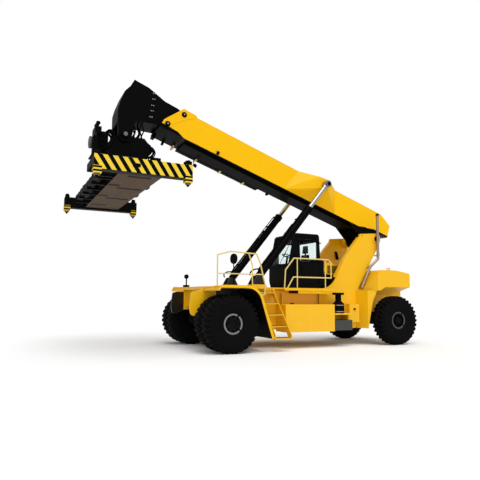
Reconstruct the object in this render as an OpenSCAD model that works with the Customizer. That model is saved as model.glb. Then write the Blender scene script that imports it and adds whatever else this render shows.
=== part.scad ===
// Reach stacker: container handler with a two-section telescopic boom
// Millimetres. X forward, Y to the machine's left, Z up. The origin lies on the ground
// under the middle of the drive axle.

/* [Machine] */
// Distance from the drive axle back to the steer axle
wheelbase = 6300; // [6200:10:6400]
// Width over the outer drive tyres
drive_over = 4170; // [4120:10:4220]
// Width over the steer tyres
steer_over = 3270; // [3230:10:3310]
// Height of the deck's top above the ground
deck_h = 1850; // [1830:5:1880]
// Height of the frame plates' lower edge above the ground
belly_h = 550; // [500:10:600]
// Width over the frame's two side plates
frame_w = 1800; // [1780:5:1820]
// Thickness of the frame's and tower's side plates
plate_t = 60; // [50:5:70]

/* [Wheels] */
// Radius of a tyre over its lugs
tyre_r = 810; // [800:2:820]
// Width of a tyre
tyre_w = 500; // [480:5:510]
// Radius of the rim under the tyre's bead
rim_r = 317; // [310:1:325]
// Gap between twin tyres
twin_gap = 50; // [40:5:60]
// Distance from a steer tyre's outer face in to its kingpin
kingpin_inset = 435; // [430:5:440]

/* [Boom] */
// Angle of the boom above level, as parked
boom_angle = 18.9; // [18:0.1:20]
// Distance from the drive axle back to the boom's pivot
pivot_back = 6000; // [5980:5:6020]
// Height of the boom's pivot above the ground
pivot_h = 3600; // [3580:5:3620]
// Width of the outer boom
boom_w = 1060; // [1040:10:1080]
// Height of the outer boom's box
boom_h = 800; // [780:10:820]
// Height of the outer boom's underside above the pivot, square to the boom
boom_rise = 305; // [300:5:320]
// Length of the outer boom ahead of the pivot
boom_reach = 8300; // [8250:10:8350]
// Wall of the boom sections
boom_wall = 20; // [16:1:24]
// Gap for the wear pads between the boom sections
pad_gap = 40; // [35:1:45]
// Travel of the inner boom
boom_stroke = 6500; // [6300:50:6600]

/* [Lift cylinders] */
// Distance between the two cylinders
cyl_spread = 1960; // [1950:5:1970]
// Radius of a cylinder's barrel
barrel_r = 120; // [115:1:125]
// Radius of a cylinder's rod
rod_r = 73; // [68:1:78]
// Length of a barrel from its foot pin to its top
barrel_len = 3045; // [3000:5:3100]
// Foot pin's distance back from the drive axle
foot_back = 1260; // [1240:5:1280]
// Foot pin's height above the ground
foot_h = 2100; // [2080:5:2120]
// Rod pin's distance along the boom from the boom's pivot
eye_along = 2550; // [2530:5:2570]
// Rod pin's height over the boom's pivot, square to the boom
eye_up = 945; // [935:5:955]

/* [Spreader] */
// Distance from the drive axle forward to the spreader's middle
spreader_x = 2770; // [2750:5:2790]
// Sideways place of the spreader as parked
spreader_shift = -170; // [-200:10:-100]
// Height of the twistlocks' tips above the ground
lock_tip_h = 4310; // [4300:5:4330]
// Distance between twistlocks along the container
lock_long = 5853; // [5840:1:5866]
// Distance between twistlocks across the container
lock_cross = 2259; // [2250:1:2268]
// Width of the spreader's main beam
beam_w = 1100; // [1080:5:1120]
// Height of the spreader's main beam
beam_h = 380; // [370:5:390]
// Travel of each end beam
telescope_stroke = 3048; // [3000:4:3060]
// Height of the boom head's pin above the ground
head_pin_h = 6200; // [6180:5:6220]

/* [Cab] */
// Width of the cab
cab_w = 1340; // [1320:5:1360]
// Distance from the drive axle back to the cab's front foot
cab_front = 2600; // [2580:5:2620]
// Length of the cab at its foot
cab_len = 1350; // [1330:5:1370]
// Height of the cab over the deck
cab_h = 1800; // [1780:5:1820]
// How far the windscreen leans back
screen_lean = 230; // [200:5:260]

/* [Counterweight] */
// Width of the counterweight
weight_w = 2800; // [2760:10:2840]
// Height of the counterweight's top above the ground
weight_top = 2490; // [2460:10:2520]
// Height of its arch over the steer tyres above the ground
arch_h = 1920; // [1900:10:1940]
// Distance from the drive axle back to the tail's middle
tail_back = 7500; // [7460:10:7540]

/* [Side tanks] */
// Width over the two side tanks
tanks_over = 2980; // [2960:10:3000]
// Length of a side tank
tank_len = 1790; // [1750:10:1830]
// Height of a side tank
tank_h = 840; // [800:10:860]

/* [Hidden] */
$fn = 48;

// Running gap between pieces that seat on each other
seat = 0.3;
// Radial clearance of a pin in its hole
fit = 0.1;
// Running clearance of moving plates
clear = 6;

half_frame = frame_w / 2;
steer_x = -wheelbase;
kingpin_y = steer_over / 2 - kingpin_inset;
steer_y = steer_over / 2 - tyre_w / 2;
outer_y = drive_over / 2 - tyre_w / 2;
inner_y = outer_y - tyre_w - twin_gap;

pivot_x = -pivot_back;
boom_top = boom_rise + boom_h;
inner_half = boom_w / 2 - boom_wall - pad_gap;
inner_low = boom_rise + boom_wall + pad_gap;
inner_top = boom_top - boom_wall - pad_gap;

cyl_y = cyl_spread / 2;
foot_x = -foot_back;
eye_x = pivot_x + eye_along * cos(boom_angle) - eye_up * sin(boom_angle);
eye_z = pivot_h + eye_along * sin(boom_angle) + eye_up * cos(boom_angle);
cyl_len = norm([eye_x - foot_x, eye_z - foot_h]);
cyl_angle = atan2(eye_z - foot_h, eye_x - foot_x);

// Pin of the boom head, given in the boom's own axes
pin_dx = spreader_x - pivot_x;
pin_dz = head_pin_h - pivot_h;
pin_u = pin_dx * cos(boom_angle) + pin_dz * sin(boom_angle);
pin_w = pin_dz * cos(boom_angle) - pin_dx * sin(boom_angle);

beam_low = lock_tip_h + 250;
beam_top = beam_low + beam_h;
lock_x = lock_cross / 2;
lock_y = lock_long / 2;

deck_low = deck_h - 50;
tank_x = -1980;
tank_low = belly_h - 50;
tank_out = tanks_over / 2;

// A plate cut to a side profile of X and Z points, from y0 to y1
module slab(y0, y1) {
    translate([0, y1, 0])
        rotate([90, 0, 0])
            linear_extrude(y1 - y0)
                children();
}

// The same on both sides of the machine
module both_sides() {
    children();
    mirror([0, 1, 0])
        children();
}

// Axes of the boom: X along it, origin on its pivot
module on_boom() {
    translate([pivot_x, 0, pivot_h])
        rotate([0, -boom_angle, 0])
            children();
}

// A box given by its lowest and highest corners
module block(a, b) {
    translate(a)
        cube(b - a);
}

// A round bar from p to q
module bar(p, q, r) {
    v = q - p;
    translate(p)
        rotate([0, acos(v[2] / norm(v)), atan2(v[1], v[0])])
            cylinder(h = norm(v), r = r, $fn = 24);
}

// A bent tube through the points of a path, with a knob at each bend
module tube_path(path, r) {
    for (i = [0 : len(path) - 2])
        bar(path[i], path[i + 1], r);
    for (i = [1 : len(path) - 2])
        translate(path[i])
            sphere(r = r * 1.03, $fn = 24);
}

// Round bar across the machine
module cross_bar(x, z, y0, y1, r) {
    translate([x, y0, z])
        rotate([-90, 0, 0])
            cylinder(h = y1 - y0, r = r);
}

// Points of an arc
function arc(c, r, a0, a1, n) = [
    for (i = [0 : n]) c + r * [cos(a0 + (a1 - a0) * i / n), sin(a0 + (a1 - a0) * i / n)]
];

// Tyre and rim sections as pairs of half width and radius, revolved on the wheel's axle
module tyre() {
    half = tyre_w / 2;
    side = [
        [half * 0.76, rim_r], [half * 0.86, rim_r + 40], [half * 0.97, tyre_r * 0.6],
        [half, tyre_r * 0.72], [half * 0.985, tyre_r * 0.85], [half * 0.92, tyre_r * 0.94],
        [half * 0.8, tyre_r * 0.985], [half * 0.4, tyre_r]
    ];
    n = len(side) - 1;
    rotate([90, 0, 0])
        rotate_extrude($fn = 96)
            polygon(concat(
                [for (i = [0 : n]) [side[i][1], side[i][0]]],
                [for (i = [n : -1 : 0]) [side[i][1], -side[i][0]]]
            ));
}

// A rim: barrel, outer flange ring and a pierced disc, facing out along +Y
module rim(disc_y, hub_r, bore_r, hub_in, hub_out) {
    half = tyre_w / 2;
    barrel_in = rim_r - 30;
    rotate([-90, 0, 0]) {
        difference() {
            union() {
                translate([0, 0, -half * 0.78])
                    cylinder(h = half * 1.56, r = rim_r - seat, $fn = 72);
            }
            translate([0, 0, -half])
                cylinder(h = half + disc_y, r = barrel_in, $fn = 72);
            translate([0, 0, disc_y + 30])
                cylinder(h = half, r = barrel_in, $fn = 72);
            translate([0, 0, -half])
                cylinder(h = tyre_w, r = bore_r, $fn = 48);
            for (i = [0 : 7])
                rotate(i * 45)
                    translate([barrel_in * 0.68, 0, -half])
                        cylinder(h = tyre_w, r = 28, $fn = 24);
        }
        difference() {
            translate([0, 0, hub_in])
                cylinder(h = hub_out - hub_in, r = hub_r, $fn = 48);
            translate([0, 0, hub_in - 1])
                cylinder(h = hub_out - hub_in + 2, r = bore_r, $fn = 48);
        }
    }
}

spindle_r = 70;
drive_spindle_r = 110;

module front_wheel_rims() {
    translate([0, outer_y, tyre_r])
        rim(-150, 170, drive_spindle_r + fit, -200, 60);
    translate([0, inner_y, tyre_r])
        rim(130, 170, drive_spindle_r + fit, 100, 240);
    // Spacer band between the twin rims
    translate([0, inner_y + tyre_w * 0.39, tyre_r])
        rotate([-90, 0, 0])
            difference() {
                cylinder(h = outer_y - inner_y - tyre_w * 0.78, r = rim_r - 10, $fn = 72);
                translate([0, 0, -1])
                    cylinder(h = tyre_w, r = rim_r - 30, $fn = 72);
            }
    // Cap over the planetary hub
    translate([0, outer_y + 60, tyre_r])
        rotate([-90, 0, 0])
            cylinder(h = 110, r1 = 170, r2 = 120, $fn = 48);
}

module front_wheel_tyres() {
    for (y = [inner_y, outer_y])
        translate([0, y, tyre_r])
            tyre();
}

module front_tyres_left() {
    color("dimgray")
        front_wheel_tyres();
}

module front_tyres_right() {
    color("dimgray")
        mirror([0, 1, 0])
            front_wheel_tyres();
}

module front_rims_left() {
    color("gray")
        front_wheel_rims();
}

module front_rims_right() {
    color("gray")
        mirror([0, 1, 0])
            front_wheel_rims();
}

module rear_wheel_tyre() {
    translate([steer_x, steer_y, tyre_r])
        tyre();
}

module rear_wheel_rim() {
    translate([steer_x, steer_y, tyre_r]) {
        rim(70, 130, spindle_r + fit, 30, 150);
        translate([0, 150, 0])
            rotate([-90, 0, 0])
                cylinder(h = 50, r1 = 130, r2 = 90, $fn = 48);
    }
}

module rear_tyre_left() {
    color("dimgray")
        rear_wheel_tyre();
}

module rear_tyre_right() {
    color("dimgray")
        mirror([0, 1, 0])
            rear_wheel_tyre();
}

module rear_rim_left() {
    color("gray")
        rear_wheel_rim();
}

module rear_rim_right() {
    color("gray")
        mirror([0, 1, 0])
            rear_wheel_rim();
}

// Steering knuckle: kingpin boss and the wheel's spindle
knuckle_half = 150;
knuckle_r = 85;

module knuckle() {
    translate([steer_x, kingpin_y, tyre_r]) {
        translate([0, 0, -knuckle_half])
            cylinder(h = 2 * knuckle_half, r = knuckle_r);
        translate([0, 30, 0])
            rotate([-90, 0, 0])
                cylinder(h = steer_y + 110 - kingpin_y, r = spindle_r);
        translate([0, 40, 0])
            rotate([-90, 0, 0])
                cylinder(h = steer_y - 15 - kingpin_y, r1 = 105, r2 = 95);
    }
}

module knuckle_left() {
    color("dimgray")
        knuckle();
}

module knuckle_right() {
    color("dimgray")
        mirror([0, 1, 0])
            knuckle();
}

// Drive axle: banjo housing, arms, spindles and the shaft from the gearbox
axle_pad_h = tyre_r + 330;

module drive_axle() {
    color("dimgray")
        translate([0, 0, tyre_r]) {
            rotate([90, 0, 0])
                cylinder(h = 2 * (inner_y - 60), r = 165, center = true);
            both_sides()
                rotate([-90, 0, 0])
                    cylinder(h = outer_y + 50, r = drive_spindle_r);
            both_sides()
                translate([0, inner_y - 160, 0])
                    rotate([-90, 0, 0])
                        cylinder(h = 190, r1 = 165, r2 = 200);
            // Banjo and differential nose
            rotate([90, 0, 0])
                cylinder(h = 420, r = 300, center = true);
            rotate([0, -90, 0])
                cylinder(h = 520, r1 = 230, r2 = 130);
            // Pads that bolt up to the frame
            both_sides()
                block([-210, half_frame - 180, -60], [210, half_frame, axle_pad_h - tyre_r]);
            // Propeller shaft back to the gearbox
            translate([-1180, 0, 0])
                rotate([0, 90, 0])
                    cylinder(h = 680, r = 60);
        }
}

// Steer axle: a beam that narrows to the forks round the kingpins
beam_half_h = 170;

module steer_axle() {
    neck = 85;
    color("dimgray")
        translate([steer_x, 0, tyre_r]) {
            difference() {
                union() {
                    translate([0, 0, -beam_half_h])
                        linear_extrude(2 * beam_half_h)
                            polygon([
                                [-220, -750], [-neck, -kingpin_y + 250], [-neck, -kingpin_y + 60],
                                [neck, -kingpin_y + 60], [neck, -kingpin_y + 250], [220, -750],
                                [220, 750], [neck, kingpin_y - 250], [neck, kingpin_y - 60],
                                [-neck, kingpin_y - 60], [-neck, kingpin_y - 250], [-220, 750]
                            ]);
                    for (s = [-1, 1])
                        for (z = [-knuckle_half - clear - 50, knuckle_half + clear])
                            translate([0, s * kingpin_y, z])
                                cylinder(h = 50, r = neck);
                    for (s = [-1, 1])
                        for (z = [-knuckle_half - clear - 50, knuckle_half + clear])
                            block(
                                [-neck, s > 0 ? kingpin_y - 200 : -kingpin_y, z],
                                [neck, s > 0 ? kingpin_y : -kingpin_y + 200, z + 50]
                            );
                }
                // Room for the knuckle inside the fork
                for (s = [-1, 1])
                    translate([0, s * kingpin_y, -knuckle_half - clear])
                        cylinder(h = 2 * (knuckle_half + clear), r = knuckle_r + 30);
            }
            // Kingpins that hold the knuckles between the fork's ears
            for (s = [-1, 1])
                for (z = [-knuckle_half - clear - 56, knuckle_half + seat])
                    translate([0, s * kingpin_y, z])
                        cylinder(h = clear + 56 - seat, r = 40);
            // Saddle up to the frame
            block([-200, -330, beam_half_h], [200, 330, rear_low - tyre_r]);
        }
}

// Frame: two side plates, cross members, deck plates and the narrow rear box
rear_low = 1080;
rear_half = 490;
horn_x = 860;
notch_h = axle_pad_h;
frame_back = -5280;
front_deck_x = -900 - seat;

module frame_profile() {
    polygon(concat(
        [[frame_back, belly_h + 350], [frame_back + 240, belly_h], [-900, belly_h]],
        [[-560, notch_h - 250]],
        [[-420, notch_h], [400, notch_h]],
        arc([720, 1110], 110, 225, 350, 6),
        [[horn_x, 1250], [horn_x - 50, 1665], [450, deck_h - 70], [450, deck_low]],
        [[front_deck_x, deck_low], [front_deck_x, deck_h], [frame_back, deck_h]]
    ));
}

module chassis_frame() {
    color("gold") {
        both_sides()
            slab(half_frame - plate_t, half_frame)
                frame_profile();
        // Top plates between the sides, open over the engine
        difference() {
            union() {
                block(
                    [frame_back, -half_frame + plate_t, deck_h - 40],
                    [front_deck_x, half_frame - plate_t, deck_h]
                );
                block(
                    [front_deck_x - 40, -half_frame + plate_t, deck_low - 40],
                    [450, half_frame - plate_t, deck_low]
                );
                block(
                    [front_deck_x - 40, -half_frame + plate_t, deck_low - 1],
                    [front_deck_x, half_frame - plate_t, deck_h - 1]
                );
            }
            block(
                [hood_back + 20, -hood_half + 40, deck_h - 100],
                [hood_front - 20, hood_half - 40, deck_h + 10]
            );
        }
        // Cross members
        for (x = [-1500, -2500, -3900, -5100])
            block(
                [x - 30, -half_frame + plate_t, belly_h + 300],
                [x + 30, half_frame - plate_t, deck_h - 40]
            );
        // Bearers under the engine
        for (x = [-4700, -4200])
            block(
                [x - 40, -half_frame + plate_t, belly_h + 290],
                [x + 40, half_frame - plate_t, belly_h + 350 - seat]
            );
        // Front cross member under the deck's edge
        block([250, -half_frame + plate_t, notch_h + 100], [310, half_frame - plate_t, deck_low - 40]);
        // Rear box that carries the steer axle and the counterweight
        block([-7150, -rear_half, rear_low], [-5070, rear_half, deck_low - 100]);
        // Lugs of the lift cylinders' feet
        both_sides()
            for (y = [cyl_y - 190, cyl_y + 130])
                slab(y, y + 60)
                    polygon(concat(
                        [[foot_x - 260, deck_h]],
                        [[foot_x + 260, deck_h]],
                        arc([foot_x, foot_h], 110, 20, 160, 8)
                    ));
        both_sides()
            cross_bar(foot_x, foot_h, cyl_y - 190, cyl_y + 190, foot_pin_r);
        both_sides()
            block([foot_x - 300, half_frame - plate_t, deck_low], [foot_x + 300, cyl_y + 190, deck_h]);
        // Slanted guards in front of the steer tyres
        both_sides() {
            translate([0, 0, belly_h])
                linear_extrude(deck_low - 2 - belly_h)
                    polygon([
                        [-5080, half_frame], [-5130, half_frame],
                        [-5290, guard_y - 30], [-5240, guard_y]
                    ]);
            slab(guard_y - 30, guard_y)
                polygon([
                    [-5240, belly_h], [-5270, belly_h], [-5310, tyre_r], [-5460, 1430],
                    [-5600, 1700], [-5660, deck_low], [-5240, deck_low]
                ]);
        }
    }
}

guard_y = 1310;
foot_pin_r = 55;

// Front deck and the mudguards over the drive tyres
deck_edge_y = drive_over / 2 - 5;
guard_r = 500;
guard_x = -400;

function guard_line(d) = concat(
    [[455, deck_h - 100 - d], [430, deck_h - 100 - d], [385, deck_h - 20 - d]],
    arc([guard_x, deck_h - 20 - guard_r], guard_r - d, 90, 158, 8),
    [[-1120 + d, 700], [-1225 + d, 385]]
);

module mudguard_profile() {
    outer = guard_line(0);
    inner = guard_line(30);
    polygon(concat(outer, [for (i = [len(inner) - 1 : -1 : 0]) inner[i]]));
}

module front_deck() {
    color("gold") {
        both_sides()
            slab(half_frame + 20, deck_edge_y)
                mudguard_profile();
        // Upstand along the outer edge
        both_sides()
            slab(deck_edge_y - 30, deck_edge_y)
                polygon(concat(
                    [[455, deck_h - 100], [400, deck_h + 25]],
                    [[guard_x, deck_h + 25]],
                    arc([guard_x, deck_h - 20 - guard_r], guard_r + 45, 90, 158, 8),
                    [[-1170, 700], [-1270, 385], [-1195, 385], [-1090, 700]],
                    arc([guard_x, deck_h - 20 - guard_r], guard_r - 30, 158, 90, 8),
                    [[385, deck_h - 50], [425, deck_h - 130]]
                ));
        // Deck plate between the mudguards
        block([-900, -half_frame - 20, deck_low + seat], [450, half_frame + 20, deck_h]);
        block([-400, -deck_edge_y, deck_h - 30], [400, deck_edge_y, deck_h]);
    }
}

// Tower: two leaning plates with round ends about the boom's pivot
end_r = 200;

module tower_profile() {
    polygon(concat(
        [[-5170, deck_h + seat], [-5930, 3080]],
        arc([pivot_x, pivot_h], end_r, 205, 92, 10),
        [[-5300, pivot_h + 140], [-5270, pivot_h + 40], [-5020, 3360], [-4600, 2830]],
        arc([-3700, deck_h + 640], 640, 207, 268, 8),
        [[-3700, deck_h + seat]]
    ));
}

module tower() {
    color("gold") {
        difference() {
            union() {
                both_sides()
                    slab(half_frame - plate_t, half_frame)
                        tower_profile();
                // Bosses that reach in to the boom's root
                both_sides()
                    cross_bar(pivot_x, pivot_h, boom_w / 2 + 60, half_frame + 15, end_r - 20);
            }
            both_sides()
                cross_bar(pivot_x, pivot_h, boom_w / 2, half_frame + 20, pivot_pin_r + fit);
        }
        // Flange along the front edge of each plate
        both_sides()
            slab(half_frame - 160, half_frame - plate_t)
                polygon([
                    [-5275, 3640], [-5020, 3355], [-4600, 2825], [-4250, 2240],
                    [-4290, 2225], [-4640, 2810], [-5050, 3330], [-5300, 3610]
                ]);
        // Cross tube between the plates
        cross_bar(-5090, 2520, -half_frame + plate_t, half_frame - plate_t, 100);
        block(
            [-5260, -half_frame + plate_t, deck_h + seat],
            [-5200, half_frame - plate_t, 2250]
        );
    }
}

pivot_pin_r = 90;

// Counterweight: a casting with a rounded tail, cut out over the steer tyres
weight_half = weight_w / 2;
tail_side_x = -tail_back + 480;

module weight_plan() {
    polygon(concat(
        [[-5290, -half_frame], [-5290, half_frame], [-5600, weight_half]],
        [[tail_side_x, weight_half]],
        [for (i = [1 : 9]) let (t = weight_half * (1 - i / 5))
            [-tail_back + 480 * pow(abs(t) / weight_half, 2), t]],
        [[tail_side_x, -weight_half], [-5600, -weight_half]]
    ));
}

module counterweight() {
    color("gold") {
        intersection() {
            translate([0, 0, deck_h - 60])
                linear_extrude(1000)
                    weight_plan();
            slab(-weight_half, weight_half)
                polygon([
                    [-5285, deck_h - 50], [-5685, weight_top - 50], [-5800, weight_top],
                    [-6400, weight_top], [-tail_back, weight_top - 170], [-tail_back, arch_h],
                    [-5930, arch_h], [-5720, deck_h - 50]
                ]);
        }
        // Core between the steer tyres, on the frame's rear box
        translate([0, 0, deck_low - 100 + seat])
            linear_extrude(arch_h + 20 - deck_low + 100)
                intersection() {
                    weight_plan();
                    translate([-tail_back, -rear_half])
                        square([2200, 2 * rear_half]);
                }
        translate([0, 0, 900])
            linear_extrude(arch_h - 900)
                intersection() {
                    weight_plan();
                    translate([-tail_back, -rear_half])
                        square([350 - seat, 2 * rear_half]);
                }
        // Slanted undersides that run in to the frame's rear box
        both_sides()
            translate([tail_side_x, 0, 0])
                rotate([90, 0, 90])
                    linear_extrude(-5950 - tail_side_x)
                        polygon([
                            [rear_half + seat, arch_h - 260], [weight_half - 20, arch_h + 5],
                            [rear_half + seat, arch_h + 5]
                        ]);
        // Lifting eyes
        both_sides()
            translate([-6480, 950, weight_top])
                rotate([90, 0, 0])
                    difference() {
                        union() {
                            translate([0, 50, 0])
                                cylinder(h = 30, r = 70, center = true);
                            translate([0, 10, 0])
                                cube([110, 70, 30], center = true);
                        }
                        translate([0, 50, 0])
                            cylinder(h = 40, r = 40, center = true);
                    }
    }
}

// Side tanks hung on the frame plates
module side_tank() {
    hull()
        for (x = [tank_x - tank_len + 25, tank_x - 25])
            for (z = [tank_low + 25, tank_low + tank_h - 25])
                translate([x, half_frame, z])
                    rotate([-90, 0, 0])
                        cylinder(h = tank_out - half_frame, r = 25, $fn = 24);
}

module side_tanks() {
    color("gold")
        both_sides()
            side_tank();
}

// Walkways above the tanks
module side_decks() {
    color("gold")
        both_sides() {
            block([tank_x - 1650, half_frame, deck_h - 180], [tank_x - 470, tank_out - 40, deck_h - 90]);
            block([tank_x - 1900, tank_out - 40, deck_h - 90], [tank_x + 40, tank_out, deck_h - 25]);
            block([tank_x - 1900, half_frame, deck_h - 90], [tank_x + 40, tank_out - 40, deck_h - 50]);
            for (x = [tank_x - 200, tank_x - 1600])
                slab(half_frame + 60, half_frame + 100)
                    polygon([
                        [x, deck_h - 180], [x + 60, deck_h - 180],
                        [x + 60, tank_low + tank_h], [x, tank_low + tank_h]
                    ]);
        }
}

// Stair up to the deck behind the left drive tyres
stair_x0 = -1840;
stair_x1 = -1290;
stair_steps = 5;

module stair() {
    color("gold") {
        for (x = [stair_x0, stair_x1 - 20])
            translate([x, 0, 0])
                rotate([90, 0, 90])
                    linear_extrude(20)
                        polygon([
                            [half_frame, 1640], [half_frame, 1800], [960, 1800], [deck_edge_y, 480],
                            [deck_edge_y, 350], [1940, 350]
                        ]);
        for (i = [0 : stair_steps - 1])
            let (y = deck_edge_y - 250 - i * 235, z = 365 + i * 325)
                block([stair_x0 + 20, max(y, half_frame), z], [stair_x1 - 20, y + 245, z + 30]);
    }
}

// Handrails round the left front deck and along the left walkway
rail_r = 20;
front_rail_y = 1750;
side_rail_y = tank_out - 90;

module handrails() {
    top = deck_h + 980;
    mid = deck_h + 350;
    side_top = deck_h + 900;
    side_mid = deck_h + 320;
    color("khaki") {
        tube_path([
            [370, front_rail_y, deck_h + seat], [370, front_rail_y, top - 110], [-30, front_rail_y, top],
            [-850, front_rail_y, top - 40], [-960, front_rail_y, top - 260],
            [-1140, front_rail_y, deck_h + 50], [-1120, front_rail_y, deck_h - 230],
            [-852, front_rail_y, deck_h - 280]
        ], rail_r);
        tube_path([
            [-600, front_rail_y, top - 28], [-720, front_rail_y, mid + 260],
            [-720, front_rail_y, deck_h - 85]
        ], rail_r - 3);
        bar([370, front_rail_y, mid], [-1058, front_rail_y, mid], rail_r - 3);
        tube_path([
            [-1990, side_rail_y, deck_h - 46], [-2030, side_rail_y, deck_h + 530],
            [-2330, side_rail_y, side_top], [-3600, side_rail_y, side_top],
            [-3710, side_rail_y, side_top - 100], [-3710, side_rail_y, side_mid],
            [-2310, side_rail_y, side_mid], [-2090, side_rail_y, deck_h - 36]
        ], rail_r);
        for (x = [-2450, -3490])
            bar([x, side_rail_y, deck_h - 50 + seat], [x, side_rail_y, side_top], rail_r - 3);
    }
}

// Air cleaner with its rain cap, on a shelf behind the left tank
module air_cleaner() {
    color("dimgray")
        translate([-4080, 1260, 0]) {
            translate([0, 0, 1060])
                cylinder(h = 290, r = 190);
            translate([0, 0, 1350])
                cylinder(h = 90, r1 = 190, r2 = 100);
            translate([0, 0, 1440])
                cylinder(h = 200, r = 95);
            translate([0, 0, 1640])
                cylinder(h = 70, r = 185);
        }
}

// Shelf, battery box and the isolator's box
module service_boxes() {
    color("darkkhaki") {
        block([-4500, half_frame, belly_h - 30], [-3830, tank_out - 60, 840]);
        block([-4500, half_frame, 1010], [-3830, tank_out - 60, 1060 - seat]);
        block([-4500, half_frame, 840], [-4440, tank_out - 200, 1010]);
        block([-5040, half_frame, 750], [-4640, half_frame + 210, 1350]);
    }
}

module exhaust_stack() {
    y = half_frame + 95;
    color("tan") {
        tube_path([
            [-5255, y, deck_h + 30], [-5640, y, 2620], [-5990, y, 2900], [-6000, y, 4480]
        ], 48);
        block([-6040, half_frame, 2990], [-5900, y, 3030]);
        block([-5700, half_frame, 2560], [-5560, y, 2600]);
    }
}

// Engine under the casing, plain
hood_back = -4880;
hood_front = -4020;
hood_half = 480;
hood_split = deck_h + 480;
hood_top = deck_h + 900;
hood_hinge_x = hood_back - 20;
hood_hinge_h = hood_top - 240;
hood_pin_r = 10;

module engine_block() {
    color("dimgray")
        block(
            [hood_back + 60, -hood_half + 110, belly_h + 350],
            [hood_front - 60, hood_half - 110, deck_h + 260]
        );
}

module engine_casing() {
    wall = 25;
    color("dimgray")
        difference() {
            block([hood_back, -hood_half, deck_h + seat], [hood_front, hood_half, hood_split]);
            block(
                [hood_back + wall, -hood_half + wall, deck_h - 10],
                [hood_front - wall, hood_half - wall, hood_split + 10]
            );
        }
    // Ears and pins of the hood's hinge
    color("dimgray")
        for (y = [-300, 300]) {
            slab(y - 45, y - 20 - seat)
                polygon([
                    [hood_back + 5, hood_split - 60], [hood_back - 10, hood_split - 60],
                    [hood_hinge_x - 22, hood_hinge_h - 40], [hood_hinge_x - 22, hood_hinge_h + 16],
                    [hood_hinge_x + 2, hood_hinge_h + 16], [hood_hinge_x + 2, hood_hinge_h - 30],
                    [hood_back - 4, hood_hinge_h - 60], [hood_back - 4, hood_split - 20],
                    [hood_back + 5, hood_split - 20]
                ]);
            cross_bar(hood_hinge_x, hood_hinge_h, y - 30, y + 30, hood_pin_r);
        }
}

// Rounded hood over the engine, hinged along its rear edge
hood_r = 300;

module hood_profile(d) {
    polygon(concat(
        [[hood_back + d, hood_split + (d > 0 ? 0 : clear)]],
        [[hood_back + d, hood_top - 220 - d]],
        arc([hood_front - hood_r - 40, hood_top - hood_r], hood_r - d, 90, 10, 8),
        [[hood_front - d, hood_split + (d > 0 ? 0 : clear)]]
    ));
}

module engine_hood() {
    wall = 25;
    color("orange")
        difference() {
            slab(-hood_half, hood_half)
                hood_profile(0);
            slab(-hood_half + wall, hood_half - wall)
                hood_profile(wall);
        }
    // Knuckles of the hinge
    color("orange")
        for (y = [-300, 300])
            difference() {
                union() {
                    cross_bar(hood_hinge_x, hood_hinge_h, y - 20, y + 20, 17);
                    block(
                        [hood_hinge_x, y - 20, hood_hinge_h - 12],
                        [hood_back + 5, y + 20, hood_hinge_h + 12]
                    );
                }
                cross_bar(hood_hinge_x, hood_hinge_h, y - 30, y + 30, hood_pin_r + fit);
            }
}

// Cab: a hollow shell with window openings
cab_x0 = -cab_front - cab_len;
cab_x1 = -cab_front;
cab_half = cab_w / 2;
cab_low = deck_h + seat;
cab_top = deck_h + cab_h;
sill_h = cab_low + 850;
head_h = cab_top - 250;
cab_wall = 60;
// X of the windscreen's outer face at height z
function screen_x(z) = cab_x1 - max(0, z - sill_h + 150) / (cab_top - sill_h + 150) * screen_lean;

cab_rear = cab_x0 + 130;

module cab_profile(d) {
    polygon([
        [cab_x0 + 200, cab_low + d], [cab_x1 - 60 - d, cab_low + d], [cab_x1 - d, cab_low + 250],
        [cab_x1 - d, sill_h - 150], [screen_x(cab_top - 60) - d, cab_top - 60 - d],
        [screen_x(cab_top - 60) - 60 - d, cab_top - d], [cab_rear + 110 + d, cab_top - d],
        [cab_rear + 50 + d, cab_top - 60 - d], [cab_rear + 10 + d, sill_h + 130],
        [cab_x0 + d, sill_h + 50 - d], [cab_x0 + d, cab_low + 130]
    ]);
}

door_x0 = cab_x0 + 190;
door_x1 = cab_x0 + 1030;
door_low = cab_low + 90;
hinge_y = cab_half + 16;
hinge_r = 15;
hinge_pin_r = 8;
hinge_heights = [door_low + 120, door_low + 760, head_h - 60];

module cab_shell() {
    color("dimgray")
        difference() {
            slab(-cab_half, cab_half)
                cab_profile(0);
            slab(-cab_half + cab_wall, cab_half - cab_wall)
                cab_profile(cab_wall);
            // Doorway on the left
            block([door_x0, cab_half - cab_wall - 1, door_low], [door_x1, cab_half + 1, head_h + 60]);
            // Fixed window on the right
            block([door_x0 + 70, -cab_half - 1, sill_h], [door_x1 - 40, -cab_half + cab_wall + 1, head_h]);
            // Windscreen and rear window
            block([cab_x1 - 400, -cab_half + 90, sill_h - 60], [cab_x1 + 10, cab_half - 90, head_h + 40]);
            block(
                [cab_rear - 10, -cab_half + 120, sill_h + 160],
                [cab_rear + cab_wall + 60, cab_half - 120, head_h]
            );
        }
    // Lower knuckles and pins of the door's hinges
    color("dimgray")
        for (z = hinge_heights) {
            translate([door_x0, hinge_y, z])
                cylinder(h = 30, r = hinge_r);
            block([door_x0 - 70, cab_half - 1, z], [door_x0, hinge_y + hinge_r, z + 30]);
            translate([door_x0, hinge_y, z + 20])
                cylinder(h = 40, r = hinge_pin_r);
        }
}

glass_t = 8;

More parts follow.
